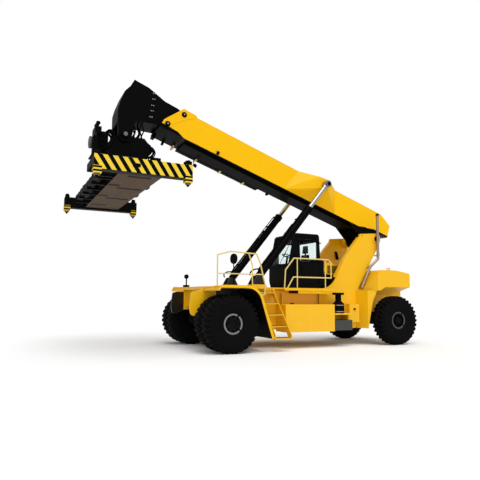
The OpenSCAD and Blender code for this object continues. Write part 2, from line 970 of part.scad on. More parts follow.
module cab_glass() {
    color("lightblue", 0.5) {
        // Windscreen
        slab(-cab_half + 90 + seat, cab_half - 90 - seat)
            polygon([
                [screen_x(sill_h - 60) - 20, sill_h - 60 + seat],
                [screen_x(sill_h - 60) - 20 - glass_t, sill_h - 60 + seat],
                [screen_x(head_h + 40) - 20 - glass_t, head_h + 40 - seat],
                [screen_x(head_h + 40) - 20, head_h + 40 - seat]
            ]);
        // Rear window
        block(
            [cab_rear + 60, -cab_half + 120 + seat, sill_h + 160 + seat],
            [cab_rear + 60 + glass_t, cab_half - 120 - seat, head_h - seat]
        );
        // Right window
        block(
            [door_x0 + 70 + seat, -cab_half + 20, sill_h + seat],
            [door_x1 - 40 - seat, -cab_half + 20 + glass_t, head_h - seat]
        );
    }
}

door_gap = 6;

module door() {
    color("dimgray")
        difference() {
            union() {
                difference() {
                    block(
                        [door_x0 + door_gap, cab_half - 45, door_low + door_gap],
                        [door_x1 - door_gap, cab_half, head_h + 60 - door_gap]
                    );
                    block(
                        [door_x0 + 90, cab_half - 50, sill_h],
                        [door_x1 - 60, cab_half + 1, head_h]
                    );
                }
                // Upper knuckles of the hinges
                for (z = hinge_heights) {
                    translate([door_x0, hinge_y, z + 30 + seat])
                        cylinder(h = 30 - seat, r = hinge_r);
                    block(
                        [door_x0 + door_gap + 1, cab_half - 1, z + 30 + seat],
                        [door_x0 + 70, hinge_y + hinge_r, z + 60]
                    );
                }
            }
            for (z = hinge_heights)
                translate([door_x0, hinge_y, z])
                    cylinder(h = 80, r = hinge_pin_r + fit);
        }
}

module door_glass() {
    color("lightblue", 0.5)
        block(
            [door_x0 + 90 + seat, cab_half - 30, sill_h + seat],
            [door_x1 - 60 - seat, cab_half - 30 + glass_t, head_h - seat]
        );
}

// Seat, steering column and console
module cab_interior() {
    x = cab_x0 + 540;
    floor_h = cab_low + cab_wall;
    color("dimgray") {
        block([x - 150, -180, floor_h + seat], [x + 190, 180, floor_h + 400]);
        hull()
            for (dx = [-190, 240])
                for (y = [-220, 220])
                    translate([x + dx, y, floor_h + 399])
                        cylinder(h = 110, r = 30, $fn = 16);
        // Backrest, which stands on the cushion, and its headrest
        hull() {
            translate([x - 255, -220, floor_h + 509 + seat])
                cube([110, 440, 60]);
            translate([x - 280, -190, floor_h + 1030])
                cube([80, 380, 60]);
        }
        hull() {
            translate([x - 240, 0, floor_h + 1180])
                cube([70, 260, 80], center = true);
            translate([x - 250, 0, floor_h + 1370])
                cube([60, 220, 60], center = true);
        }
        bar([x - 245, 0, floor_h + 1000], [x - 245, 0, floor_h + 1200], 25);
        // Column and wheel
        block([cab_x1 - 360, -300, floor_h + seat], [cab_x1 - 150, 300, floor_h + 560]);
        bar([cab_x1 - 240, 0, floor_h + 500], [cab_x1 - 345, 0, floor_h + 1020], 35);
        translate([cab_x1 - 348, 0, floor_h + 1030])
            rotate([0, -18, 0]) {
                rotate_extrude($fn = 48)
                    translate([185, 0])
                        circle(r = 16, $fn = 16);
                cube([30, 370, 16], center = true);
            }
        // Armrest console on the right
        block([cab_x0 + 420, -470, floor_h + seat], [cab_x0 + 760, -340, floor_h + 720]);
    }
}

module deck_lamps() {
    color("dimgray") {
        // Lamp on the right front corner
        translate([60, -1700, deck_h + seat]) {
            cylinder(h = 90, r = 110);
            cylinder(h = 320, r = 22);
            translate([0, 0, 310])
                cylinder(h = 70, r1 = 55, r2 = 85);
            translate([0, 0, 380])
                cylinder(h = 70, r1 = 85, r2 = 50);
        }
        // Round mirror on a post, in front of the left cylinder
        translate([-330, 1310, deck_h + seat]) {
            cylinder(h = 40, r = 60);
            cylinder(h = 720, r = 16);
            translate([0, 0, 810])
                rotate([0, 90, 10])
                    rotate(40)
                        cylinder(h = 60, r = 150, center = true);
        }
    }
}

// Outer boom: a box open in front, with a pivot root under its rear end
module boom_side_profile() {
    polygon([
        [-750, boom_rise + 100], [-740, boom_top - 250], [-220, boom_top],
        [boom_reach - 980, boom_top], [boom_reach - 890, boom_top + 60],
        [boom_reach - 470, boom_top + 70], [boom_reach - 30, boom_rise + 270],
        [boom_reach, boom_rise + 130], [boom_reach - 550, boom_rise + 100],
        [boom_reach - 780, boom_rise], [600, boom_rise], [300, boom_rise + 80]
    ]);
}

root_half = boom_w / 2 - 60;

module boom_outer() {
    half = boom_w / 2;
    eye_face = cyl_y - rod_eye_half - seat;
    color("gold")
        on_boom() {
            both_sides()
                slab(half - boom_wall, half)
                    boom_side_profile();
            // Top and bottom plates
            block(
                [-200, -half + boom_wall, boom_top - boom_wall],
                [boom_reach - 980, half - boom_wall, boom_top]
            );
            block(
                [600, -half + boom_wall, boom_rise],
                [boom_reach - 780, half - boom_wall, boom_rise + boom_wall]
            );
            // Rear end
            slab(-half + boom_wall, half - boom_wall)
                polygon([
                    [-750, boom_rise + 100], [-740, boom_top - 250], [-200, boom_top],
                    [-200, boom_top - 30], [-715, boom_top - 265], [-725, boom_rise + 125],
                    [300, boom_rise + 105], [600, boom_rise + 25], [600, boom_rise],
                    [300, boom_rise + 80]
                ]);
            // Root plates down to the pivot
            both_sides()
                slab(root_half - 60, root_half)
                    polygon(concat(
                        [[600, boom_rise + 2], [900, boom_rise + 2]],
                        [[900, boom_rise - 10]],
                        arc([0, 0], end_r - 20, -40, -180, 8),
                        [[-300, boom_rise + 102], [300, boom_rise + 82]]
                    ));
            cross_bar(0, 0, -boom_w / 2 - 50, boom_w / 2 + 50, end_r - 40);
            // Wear pads at the mouth, which the inner boom slides on
            both_sides()
                block(
                    [boom_reach - 1300, inner_half + seat, inner_low + 60],
                    [boom_reach - 1000, half - boom_wall + 1, inner_top - 60]
                );
            block(
                [boom_reach - 1300, -inner_half + 60, boom_rise + boom_wall - 1],
                [boom_reach - 1000, inner_half - 60, inner_low - seat]
            );
            block(
                [boom_reach - 1300, -inner_half + 60, inner_top + seat],
                [boom_reach - 1000, inner_half - 60, boom_top - boom_wall + 1]
            );
            // Pivot pin through the tower's bosses
            cross_bar(0, 0, -half_frame - 14, half_frame + 14, pivot_pin_r);
            // Flared carriers of the lift cylinders' rods
            both_sides()
                hull() {
                    slab(half - 5, half - 4)
                        polygon([
                            [eye_along - 900, boom_rise], [eye_along + 1250, boom_rise],
                            [eye_along + 950, boom_top], [eye_along - 650, boom_top]
                        ]);
                    slab(eye_face - 21, eye_face - 20)
                        polygon([
                            [eye_along - 260, eye_up - 200], [eye_along + 120, eye_up - 180],
                            [eye_along + 300, eye_up + 180], [eye_along - 140, eye_up + 230]
                        ]);
                }
            both_sides()
                cross_bar(eye_along, eye_up, eye_face - 30, eye_face, 115);
            // Doubler plates and pins at the front end
            both_sides()
                for (p = [[boom_reach - 540, boom_top - 105], [boom_reach - 170, boom_rise + 180]])
                    cross_bar(p[0], p[1], half - 2, half + 22, 62);
        }
}

rod_eye_half = 90;

// Hose and cable tray under the outer boom
module cable_tray() {
    color("dimgray")
        on_boom() {
            block([700, -330, boom_rise - 90], [boom_reach - 900, 330, boom_rise - seat]);
            for (i = [0 : 3])
                block(
                    [3900 + i * 1000, -470, boom_rise - 110],
                    [3960 + i * 1000, -330, boom_rise - seat]
                );
        }
}

// Inner boom and the goose neck that carries the head's pin
neck_half = 420;
head_pin_r = 70;
neck_top = [
    [-1500, 1400], [-1170, 1515], [-720, 1530], [-360, 1625], [-130, 1685], [340, 1700],
    [382, 1455], [470, 1245], [480, 875], [460, 635], [330, 260]
];

module boom_inner() {
    color("dimgray")
        on_boom() {
            difference() {
                block([800, -inner_half, inner_low], [pin_u - 1400, inner_half, inner_top]);
                block(
                    [790, -inner_half + boom_wall, inner_low + boom_wall],
                    [pin_u - 1500, inner_half - boom_wall, inner_top - boom_wall]
                );
            }
            // Wear pads at the rear end, which ride in the outer boom
            both_sides()
                block(
                    [830, inner_half - 1, inner_low + 60],
                    [1080, boom_w / 2 - boom_wall - seat, inner_top - 60]
                );
            block(
                [830, -inner_half + 60, boom_rise + boom_wall + seat],
                [1080, inner_half - 60, inner_low + 1]
            );
            block(
                [830, -inner_half + 60, inner_top - 1],
                [1080, inner_half - 60, boom_top - boom_wall - seat]
            );
            translate([pin_u, 0, pin_w]) {
                // Box of the goose neck
                slab(-neck_half, neck_half)
                    polygon(concat(
                        neck_top,
                        [[-60, 330], [-160, 560], [-800, inner_low - pin_w], [-1500, inner_low - pin_w]]
                    ));
                // Cheeks that hold the pin
                both_sides()
                    slab(neck_half - 70, neck_half)
                        polygon(concat(
                            [[-60, 760], [440, 600], [200, -40]],
                            arc([0, 0], 205, -30, -170, 8),
                            [[-160, 320]]
                        ));
                cross_bar(0, 0, -neck_half - 40, neck_half + 40, head_pin_r);
            }
        }
}

// Lift cylinders, drawn along X from the foot pin and turned to their angle
module on_cylinder() {
    translate([foot_x, cyl_y, foot_h])
        rotate([0, -cyl_angle, 0])
            children();
}

eye_r = 125;
rod_len = 3020;

module lift_barrel() {
    on_cylinder()
        difference() {
            union() {
                rotate([90, 0, 0])
                    cylinder(h = 2 * 115, r = 110, center = true);
                translate([90, 0, 0])
                    rotate([0, 90, 0])
                        cylinder(h = barrel_len - 90, r = barrel_r);
                translate([barrel_len - 160, 0, 0])
                    rotate([0, 90, 0])
                        cylinder(h = 160, r = barrel_r + 12);
            }
            rotate([90, 0, 0])
                cylinder(h = 400, r = foot_pin_r + fit, center = true);
            translate([220, 0, 0])
                rotate([0, 90, 0])
                    cylinder(h = barrel_len, r = rod_r + fit);
        }
}

module lift_rod() {
    on_cylinder() {
        translate([cyl_len - rod_len, 0, 0])
            rotate([0, 90, 0])
                cylinder(h = rod_len - 80, r = rod_r);
        translate([cyl_len, 0, 0])
            rotate([90, 0, 0])
                cylinder(h = 2 * rod_eye_half, r = eye_r, center = true);
        translate([cyl_len - 180, 0, 0])
            rotate([0, 90, 0])
                cylinder(h = 100, r = rod_r + 12);
        // Pin with its cap, cut level with the eye's inner face
        translate([cyl_len, rod_eye_half - 2, 0])
            rotate([-90, 0, 0])
                cylinder(h = 45, r = 60);
    }
}

module lift_barrel_left() {
    color("dimgray")
        lift_barrel();
}

module lift_barrel_right() {
    color("dimgray")
        mirror([0, 1, 0])
            lift_barrel();
}

module lift_rod_left() {
    color("silver")
        lift_rod();
}

module lift_rod_right() {
    color("silver")
        mirror([0, 1, 0])
            lift_rod();
}

// Head: yoke on the boom's pin, slewing ring, carriage, spreader
ring_top = beam_top + 560;
ring_r = 620;
head_half = beam_w / 2 + 130;

module head_yoke() {
    color("dimgray")
        translate([spreader_x, 0, 0])
            difference() {
                union() {
                    both_sides()
                        slab(neck_half - 160, neck_half - 70 - clear)
                            polygon(concat(
                                arc([0, head_pin_h], 170, 0, 180, 10),
                                [[-560, ring_top], [560, ring_top]]
                            ));
                    translate([0, 0, ring_top - 120])
                        cylinder(h = 120, r = ring_r, $fn = 72);
                    block([-560, -neck_half, ring_top - 20], [560, neck_half, ring_top + 60]);
                    // Shelf in front with the slewing motor and its cover
                    block([550, -300, ring_top + 30], [900, 400, ring_top + 60]);
                    translate([780, 290, ring_top + 59])
                        cylinder(h = 520, r = 100);
                    block([650, -160, ring_top + 59], [840, 200, ring_top + 560]);
                    translate([839, 20, ring_top + 460])
                        rotate([0, 90, 0])
                            cylinder(h = 90, r = 170);
                    block([660, -60, ring_top + 559], [720, 60, ring_top + 700]);
                    block([640, -260, ring_top + 699], [820, 260, ring_top + 900]);
                }
                cross_bar(0, head_pin_h, -neck_half, neck_half, head_pin_r + fit);
            }
}

module rotator() {
    color("dimgray")
        translate([spreader_x, 0, 0]) {
            translate([0, 0, ring_top - 240])
                cylinder(h = 120 - seat, r = ring_r - 40, $fn = 72);
            // Carriage over the main beam
            block([-head_half, -900, beam_top + 120], [head_half, 900, ring_top - 240]);
            // Guide arms beside the main beam, under the carriage
            for (s = [-1, 1])
                for (y = [-780, 480])
                    block(
                        [s > 0 ? beam_w / 2 + seat : -head_half, y, beam_low + 60],
                        [s > 0 ? head_half : -beam_w / 2 - seat, y + 300, beam_top + 120 - seat]
                    );
            for (y = [-780, 480])
                block([-beam_w / 2 + 100, y, beam_top + seat], [beam_w / 2 - 100, y + 300, beam_top + 121]);
        }
}

// Valve blocks carried on the turntable beside the slewing ring
module power_pack() {
    z = ring_top - 240;
    color("dimgray")
        translate([spreader_x, 0, 0]) {
            block([-940, -560, z - 60], [-head_half - seat, 560, z + 100]);
            both_sides()
                block([-960, 620, z - 60], [-700, 860, z + 250]);
            both_sides()
                block([-940, 559, z - 60], [-820, 621, z + 100]);
            block([head_half + seat, -480, z - 60], [900, 560, z + 160]);
        }
}

// Main beam of the spreader: a hollow box open at both ends
module spreader_frame() {
    wall = 20;
    half = lock_y + 103 - end_t - 20;
    tube_x = beam_w / 2 + 205;
    tube_z = beam_low + 170;
    color("dimgray")
        translate([spreader_x, spreader_shift, 0]) {
            difference() {
                block([-beam_w / 2, -half, beam_low], [beam_w / 2, half, beam_top]);
                block(
                    [-beam_w / 2 + wall, -half - 1, beam_low + wall],
                    [beam_w / 2 - wall, half + 1, beam_top - wall]
                );
            }
            // Middle web between the two arms
            block([-8, -half, beam_low + wall - 1], [8, half, beam_top - wall + 1]);
            // Telescope cylinder along the front side, in the saddles of two brackets
            cross_bar(tube_x, tube_z, -half + 300, half - 500, 55);
            for (y = [-half + 400, half - 700])
                difference() {
                    block([beam_w / 2 + seat, y, tube_z - 60], [tube_x - 10, y + 60, tube_z + 60]);
                    cross_bar(tube_x, tube_z, y - 1, y + 61, 55 + seat);
                }
        }
}

arm_h = beam_h - 40 - 2 * seat;
arm_w = beam_w / 2 - 40;
end_t = 260;

module end_beam(side) {
    half = lock_y + 103;
    arm_x = side > 0 ? -beam_w / 2 + 20 + clear : 8 + clear;
    translate([spreader_x, spreader_shift, 0]) {
        mirror([0, side > 0 ? 0 : 1, 0]) {
            // Arm inside the main beam
            difference() {
                block(
                    [arm_x, half - 3960, beam_low + 20 + seat],
                    [arm_x + arm_w, half - end_t, beam_low + 20 + seat + arm_h]
                );
                block(
                    [arm_x + 16, half - 3970, beam_low + 40],
                    [arm_x + arm_w - 16, half - end_t - 20, beam_low + arm_h]
                );
            }
            // Cross beam
            block([-lock_x - 90, half - end_t, beam_low - 60], [lock_x + 90, half, beam_low + 300]);
            // Corner blocks and twistlocks
            for (x = [-lock_x, lock_x]) {
                block([x - 95, lock_y - 95, beam_low - 150], [x + 95, lock_y + 103, beam_low + 20]);
                translate([x, lock_y, lock_tip_h])
                    cylinder(h = 60, r1 = 15, r2 = 50);
                translate([x, lock_y, lock_tip_h + 60])
                    cylinder(h = 60, r = 28);
                translate([x, lock_y, beam_low + 290])
                    cylinder(h = 110, r = 70);
            }
        }
    }
}

module end_beam_left() {
    color("gold")
        end_beam(1);
}

module end_beam_right() {
    color("dimgray")
        end_beam(-1);
}

chassis_frame();
front_deck();
tower();
counterweight();
drive_axle();
steer_axle();
side_tanks();
side_decks();
stair();
handrails();
air_cleaner();
service_boxes();
exhaust_stack();
engine_block();
engine_casing();
engine_hood();
cab_shell();
cab_glass();
cab_interior();
door();
door_glass();
deck_lamps();
front_tyres_left();
front_rims_left();
front_tyres_right();
front_rims_right();
rear_tyre_left();
rear_rim_left();
rear_tyre_right();
rear_rim_right();
knuckle_left();
knuckle_right();
boom_outer();
cable_tray();
boom_inner();
lift_barrel_left();
lift_barrel_right();
lift_rod_left();
lift_rod_right();
head_yoke();
rotator();
power_pack();
spreader_frame();
end_beam_left();
end_beam_right();
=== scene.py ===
import math

import bpy
import numpy as np
from mathutils import Matrix, Vector


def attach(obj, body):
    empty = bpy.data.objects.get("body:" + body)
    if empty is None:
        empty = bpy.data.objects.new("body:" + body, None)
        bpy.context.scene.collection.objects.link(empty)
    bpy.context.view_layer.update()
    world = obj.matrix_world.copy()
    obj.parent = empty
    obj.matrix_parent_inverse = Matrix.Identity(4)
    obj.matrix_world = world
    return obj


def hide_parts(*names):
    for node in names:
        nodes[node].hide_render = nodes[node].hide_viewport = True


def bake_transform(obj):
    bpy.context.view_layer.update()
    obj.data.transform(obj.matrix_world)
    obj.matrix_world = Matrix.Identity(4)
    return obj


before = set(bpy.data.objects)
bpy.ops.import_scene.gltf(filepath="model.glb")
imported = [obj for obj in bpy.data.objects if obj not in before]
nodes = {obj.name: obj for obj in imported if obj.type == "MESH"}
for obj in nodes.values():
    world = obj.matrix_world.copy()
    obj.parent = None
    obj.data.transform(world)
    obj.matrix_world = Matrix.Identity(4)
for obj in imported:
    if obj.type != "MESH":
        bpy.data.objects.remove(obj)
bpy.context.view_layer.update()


# Yard floor, daylight and camera. The machine stands on a pale, even floor under a wide white
# sky, as in a catalogue picture. The floor looks almost white, and keeps the machine's soft shadow.
class Sock:
    """A node socket. Arithmetic on it adds Math nodes, and node() adds a node of any other kind."""

    def __init__(self, tree, out=None):
        self.tree, self.out = tree, out

    def node(self, kind, settings=None, inputs=None, pick=0):
        """Adds one node: its type, then its settings, then the values or links of its sockets."""
        new = self.tree.nodes.new("ShaderNode" + kind)
        for key, value in (settings or {}).items():
            setattr(new, key, value)
        for key, value in (inputs or {}).items():
            if isinstance(value, Sock):
                self.tree.links.new(value.out, new.inputs[key])
            else:
                new.inputs[key].default_value = value
        return Sock(self.tree, new.outputs[pick] if new.outputs else None)

    def math(self, operation, a, b=0.0):
        return self.node("Math", {"operation": operation}, {0: a, 1: b})

    def __add__(self, other):
        return self.math("ADD", self, other)

    def __sub__(self, other):
        return self.math("SUBTRACT", self, other)

    def __rsub__(self, other):
        return self.math("SUBTRACT", other, self)

    def __mul__(self, other):
        return self.math("MULTIPLY", self, other)

    def __truediv__(self, other):
        return self.math("DIVIDE", self, other)

    def __gt__(self, other):
        return self.math("GREATER_THAN", self, other)

    def __lt__(self, other):
        return self.math("LESS_THAN", self, other)

    __radd__ = __add__
    __rmul__ = __mul__

    def size(self):
        """This value without its sign."""
        return self.math("ABSOLUTE", self)

    def between(self, low, high):
        """1 where this value lies between two others, or else 0."""
        return (self > low) * (self < high)

    def clip(self):
        """This value kept between 0 and 1."""
        return self.node("Math", {"operation": "ADD", "use_clamp": True}, {0: self, 1: 0.0})

    def wrap(self, period):
        """This value's share of a period, from 0 to 1, round and round."""
        return self.math("FRACT", self.math("ADD", self / period, 100.0))

    def mix(self, a, b):
        """Colour a where this value is 0, colour b where it is 1."""
        pair = [c if isinstance(c, Sock) else (*c, 1) for c in (a, b)]
        return self.node("Mix", {"data_type": "RGBA"}, {0: self, 6: pair[0], 7: pair[1]}, 2)


def begin(name):
    """An empty material, with its object coordinates as (material, place, X, Y, Z)."""
    made = bpy.data.materials.new(name)
    made.use_nodes = True
    made.node_tree.nodes.clear()
    place = Sock(made.node_tree).node("TexCoord", pick=3)
    axes = [place.node("SeparateXYZ", inputs={0: place}, pick=i) for i in range(3)]
    return made, place, *axes


def noise(place, scale, detail=3.0, rough=0.55, stretch=None):
    """Cloudy noise from 0 to 1, with its scale in lumps to a metre."""
    if stretch:
        place = place.node("VectorMath", {"operation": "MULTIPLY"}, {0: place, 1: stretch})
    inputs = {"Vector": place, "Scale": scale, "Detail": detail, "Roughness": rough}
    return place.node("TexNoise", inputs=inputs)


def mesh_piece(name, parts, finish, smooth=True):
    """One object from (points, faces) parts, its place in its mesh."""
    points, faces, start = [], [], 0
    for part_points, part_faces in parts:
        points.append(np.asarray(part_points, float))
        faces.extend((np.asarray(f) + start).tolist() for f in part_faces)
        start += len(part_points)
    data = bpy.data.meshes.new(name)
    data.from_pydata(np.concatenate(points).tolist(), [], faces)
    data.polygons.foreach_set("use_smooth", np.full(len(data.polygons), smooth))
    data.update()
    made = bpy.data.objects.new(name, data)
    bpy.context.scene.collection.objects.link(made)
    data.materials.append(finish)
    return made


floor_paint, floor_place, *_ = begin("pale_floor")
yard_dust = noise(floor_place, 0.6).mix((0.90, 0.90, 0.905), (0.93, 0.93, 0.93))
seen = floor_place.node("LightPath", pick=0)
lit = floor_place.node("BsdfDiffuse", inputs={"Color": yard_dust})
bright = floor_place.node("BsdfDiffuse", inputs={"Color": (0.985, 0.985, 0.985, 1)})
both = floor_place.node("MixShader", inputs={0: seen, 1: lit, 2: bright})
floor_place.node("OutputMaterial", inputs={0: both})
half = 400.0
corners = [(-half, -half, 0), (half, -half, 0), (half, half, 0), (-half, half, 0)]
floor = mesh_piece("yard_floor", [(corners, [[0, 1, 2, 3]])], floor_paint)

sky = bpy.data.worlds.new("white_sky")
bpy.context.scene.world = sky
sky.use_nodes = True
sky.node_tree.nodes.clear()
air = Sock(sky.node_tree)
seen_by_eye, seen_through_glass = (air.node("LightPath", pick=i) for i in (0, 6))
sky_light = 0.56
shows = (seen_by_eye + seen_through_glass).clip()
sky_strength = shows * (1 - sky_light) + sky_light
sky_colour = air.node("Background", inputs={"Color": (1, 1, 1, 1), "Strength": sky_strength})
air.node("OutputWorld", inputs={0: sky_colour})


def direction(azimuth, height):
    """A direction from two angles in degrees: round from X, and up from level."""
    a, h = math.radians(azimuth), math.radians(height)
    return Vector((math.cos(a) * math.cos(h), math.sin(a) * math.cos(h), math.sin(h)))


for name, strength, spread, azimuth, height in (
    ("daylight", 1.60, 50, 78, 64),
    ("low_light", 0.50, 70, 72, 16),
):
    lamp = bpy.data.lights.new(name, "SUN")
    lamp.energy = strength
    lamp.angle = math.radians(spread)
    holder = bpy.data.objects.new(name, lamp)
    bpy.context.scene.collection.objects.link(holder)
    holder.rotation_euler = direction(azimuth, height).to_track_quat("Z", "Y").to_euler()

sensor, focal_pixels, photo_pixels = 36.0, 500.804, 480.0
lens = bpy.data.cameras.new("photograph")
lens.sensor_width = sensor
lens.lens = sensor * focal_pixels / photo_pixels
lens.clip_end = 2000.0
camera = bpy.data.objects.new("photograph", lens)
bpy.context.scene.collection.objects.link(camera)
camera_place = Matrix.Translation((5.8018, 14.5916, 1.548))
camera_turn = direction(-115.477, 6.493).to_track_quat("-Z", "Y").to_matrix().to_4x4()
camera_roll = Matrix.Rotation(math.radians(0.436), 4, "Z")
camera.matrix_world = camera_place @ camera_turn @ camera_roll
bpy.context.scene.camera = camera
bpy.context.scene.view_settings.view_transform = "Standard"


# Chassis, mudguards and decks. The frame is two tall welded plates with cross members, in amber
# two-coat paint over primer. Dust gathers low down, and black painted shade fills the wheel arches.
def close(made, place, inputs, height=None, relief=0.002, strength=0.6):
    """Ends a material in one Principled shader, with a Bump where a height is given."""
    if height is not None:
        bump = {"Height": height, "Strength": strength, "Distance": relief}
        inputs["Normal"] = place.node("Bump", inputs=bump)
    shader = place.node("BsdfPrincipled", inputs=inputs)
    place.node("OutputMaterial", inputs={0: shader})
    return made


def face_axes(place):
    """X, Y and Z of the direction in which the surface faces."""
    faces = place.node("TexCoord", pick=1)
    return [place.node("SeparateXYZ", inputs={0: faces}, pick=i) for i in range(3)]


def darker(colour, share):
    return [c * share for c in colour]


primer = (0.16, 0.12, 0.09)
road_dust = (0.23, 0.19, 0.14)


def painted(name, colour, shade=0.9, gloss=0.32, dusty=0.5, chips=0.35, under=primer, areas=None):
    """Sprayed paint: broad tone drift, orange peel, dust that thickens towards the ground, small
    chips. Black paint is the duller kind, with a thinner clear coat. Areas gives (mask, colour)
    pairs for what is painted otherwise, from the place's X, Y and Z and the face's direction."""
    made, place, x, y, z = begin(name)
    black = max(colour) < 0.05
    broad, fine, peel = noise(place, 0.55), noise(place, 7.0, 6.0, 0.65), noise(place, 110.0, 2.0)
    low = ((1.5 - z) / 1.5).clip()
    dust = (low * 1.1 * fine + (fine - 0.55) * 0.6).clip() * dusty
    streak = (noise(place, 3.0, 4.0, 0.6, (3.0, 3.0, 0.35)) - 0.56).clip() * 1.6 * dusty
    chip = (noise(place, 17.0, 5.0, 0.6) > 0.735) * (noise(place, 1.7) > 0.52) * chips
    tone = broad.mix(darker(colour, shade), colour)
    for mask, other in areas(x, y, z, face_axes(place)) if areas else ():
        tone = mask.mix(tone, other)
    tone = (dust * (0.16 if black else 0.4)).mix(tone, road_dust)
    tone = (streak * 0.35).clip().mix(tone, darker(colour, 0.5))
    tone = chip.mix(tone, under)
    return close(made, place, {
        "Base Color": tone,
        "Roughness": (fine * 0.16 + dust * 0.5 + chip * 0.3 + (gloss - 0.08)).clip(),
        "Coat Weight": (1 - dust * 1.5).clip() * (0.03 if black else 0.10),
        "Coat Roughness": 0.12,
        "Specular IOR Level": 0.01 if black else 0.30,
    }, peel * 0.3 + fine * 0.5 - chip * 0.7, 0.0006 if black else 0.0012, 0.35)


amber = (0.96, 0.525, 0.003)
# Black for the right-hand horn and the lift cylinders' feet, and as painted shade inside the wheel
# arches and mudguards.
black_and_painted_shade = (0.0045, 0.0042, 0.0040)
body_paint = painted("amber_body_paint", amber)


def frame_areas(x, y, z, face):
    """Black on the right-hand horn and at the lift cylinders' feet, and black painted shade inside the
    drive wheels' arches: each mask is a product of spans in X, Y and Z and of the way the face looks."""
    out = y.size()
    # Painted shade: black inside the front wheels' arches, on their undersides and rear walls.
    arch = x.between(-1.15, 1.05) * (z < 1.79)
    inside = (face[2] < -0.15) * (x < 0.44) + (out < 1.02) * (face[2] < 0.5) * (x < 0.05)
    rear_wall = (face[0] > 0.15) * x.between(-1.6, 0.0) * z.between(0.65, 1.79) * (out > 0.92)
    horn = (y < 0.0) * (x > 0.44) * (z < 1.70)
    feet = (z > 1.93) * x.between(-1.7, -0.8)
    return [((arch * inside + rear_wall + horn + feet).clip(), black_and_painted_shade)]


def wear(finish, *names):
    """Gives CAD nodes their finish."""
    for name in names:
        slots = nodes[name].data.materials
        slots.clear()
        slots.append(finish)


rail_paint = painted("pale_rail_paint", (0.80, 0.62, 0.20), gloss=0.4, dusty=0.3)
wear(painted("amber_frame_paint", amber, areas=frame_areas), "chassis_frame")
wear(body_paint, "side_tanks", "stair")
wear(rail_paint, "handrails")


def tread_plate(name, colour):
    """Chequered deck plate: short raised bars on a 45 mm grid, turned to and fro, on faces that
    look up. The mudguards' inside, which faces the tyre, is painted black as painted shade."""
    made, place, x, y, z = begin(name)
    broad, fine = noise(place, 0.8), noise(place, 9.0, 5.0)
    face = face_axes(place)
    a, b = (x + y) * 0.7071, (x - y) * 0.7071
    turn = (a.wrap(0.09) > 0.5) + (b.wrap(0.09) > 0.5)
    odd = 1 - (turn - 1).size()
    u, v = a.wrap(0.045) - 0.5, b.wrap(0.045) - 0.5
    along = odd * (u * u * 30 + v * v * 5) + (1 - odd) * (u * u * 5 + v * v * 30)
    bars = (1 - along).clip() * (face[2] > 0.8)
    rub = (bars * 1.6 * fine - 0.45).clip() * 0.8
    tone = broad.mix(darker(colour, 0.88), colour)
    tone = ((fine - 0.5).clip() * 0.9).mix(tone, (0.25, 0.20, 0.14))
    tone = rub.mix(tone, (0.34, 0.32, 0.30))
    # Painted shade: black on the mudguards' inside, which faces the tyre.
    guard = (face[0] > 0.15) * (x < -0.2) * (z < 1.78)
    return close(made, place, {
        "Base Color": guard.mix(tone, black_and_painted_shade), "Roughness": fine * 0.25 + 0.3,
        "Metallic": rub * 0.7, "Specular IOR Level": 0.15,
    }, bars + fine * 0.1, 0.003, 0.7)


wear(tread_plate("amber_deck_plate", amber), "front_deck", "side_decks")


def ring_faces(rows, columns, closed=False):
    """Faces between rows of points, each row a ring. A closed form joins its last ring to its
    first, and any other has flat ends."""
    i, j = np.meshgrid(np.arange(rows - 1 + closed), np.arange(columns), indexing="ij")
    up, k = (i + 1) % rows, (j + 1) % columns
    corners = [i * columns + j, i * columns + k, up * columns + k, up * columns + j]
    faces = np.stack(corners, -1).reshape(-1, 4).tolist()
    last = (rows - 1) * columns
    ends = [list(range(columns - 1, -1, -1)), list(range(last, last + columns))]
    return faces if closed else faces + ends


def lathe(profile, sides=32, centre=(0, 0, 0), axis=(0, 0, 1), hollow=False):
    """A profile of (radius, height) pairs turned about an axis, rising on its outside."""
    profile = np.asarray(profile, float)
    axis = np.asarray(axis, float) / np.linalg.norm(axis)
    guide = np.array([1.0, 0, 0]) if abs(axis[0]) < 0.8 else np.array([0, 1.0, 0])
    side = np.cross(guide, axis)
    side /= np.linalg.norm(side)
    rise = np.cross(axis, side)
    turn = np.linspace(0, 2 * np.pi, sides, endpoint=False)
    ring = np.cos(turn)[:, None] * side + np.sin(turn)[:, None] * rise
    points = profile[:, None, :1] * ring[None] + profile[:, None, 1:] * axis + np.asarray(centre, float)
    return points.reshape(-1, 3), ring_faces(len(profile), sides, hollow)


def copies(part, places, turn=None):
    """The same part at many places, first turned by one 3 by 3 matrix where a turn is given."""
    points, faces = np.asarray(part[0], float), part[1]
    if turn is not None:
        points = points @ turn.T
    places = np.asarray(places, float)
    moved = (points[None] + places[:, None]).reshape(-1, 3)
    width = len(points)
    return moved, [[v + s * width for v in f] for s in range(len(places)) for f in faces]


def mirrored(parts):
    """The parts and their reflections on the machine's other side, faces still outwards."""
    other = [(np.asarray(p) * (1, -1, 1), [list(f)[::-1] for f in fs]) for p, fs in parts]
    return [*parts, *other]


def add(name, parts, finish, body="machine", smooth=False):
    """Makes one piece that rides on a body, in the finish given."""
    made = mesh_piece(name, parts, finish, smooth)
    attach(made, body)
    return made


def metal(name, colour, rough=0.3, grime=0.4, metallic=1.0):
    """Bare or plated metal: brushed noise in its roughness, grime in cloudy patches."""
    made, place, *_ = begin(name)
    fine, cloud = noise(place, 60.0, 4.0), noise(place, 4.0, 5.0, 0.6)
    dirt = (cloud - 0.5).clip() * 2.2 * grime
    return close(made, place, {
        "Base Color": dirt.clip().mix(colour, [c * 0.35 + 0.01 for c in colour]),
        "Metallic": (metallic - dirt * 0.8).clip(),
        "Roughness": (fine * 0.18 + dirt * 0.5 + rough - 0.08).clip(),
    }, fine, 0.0006, 0.4)


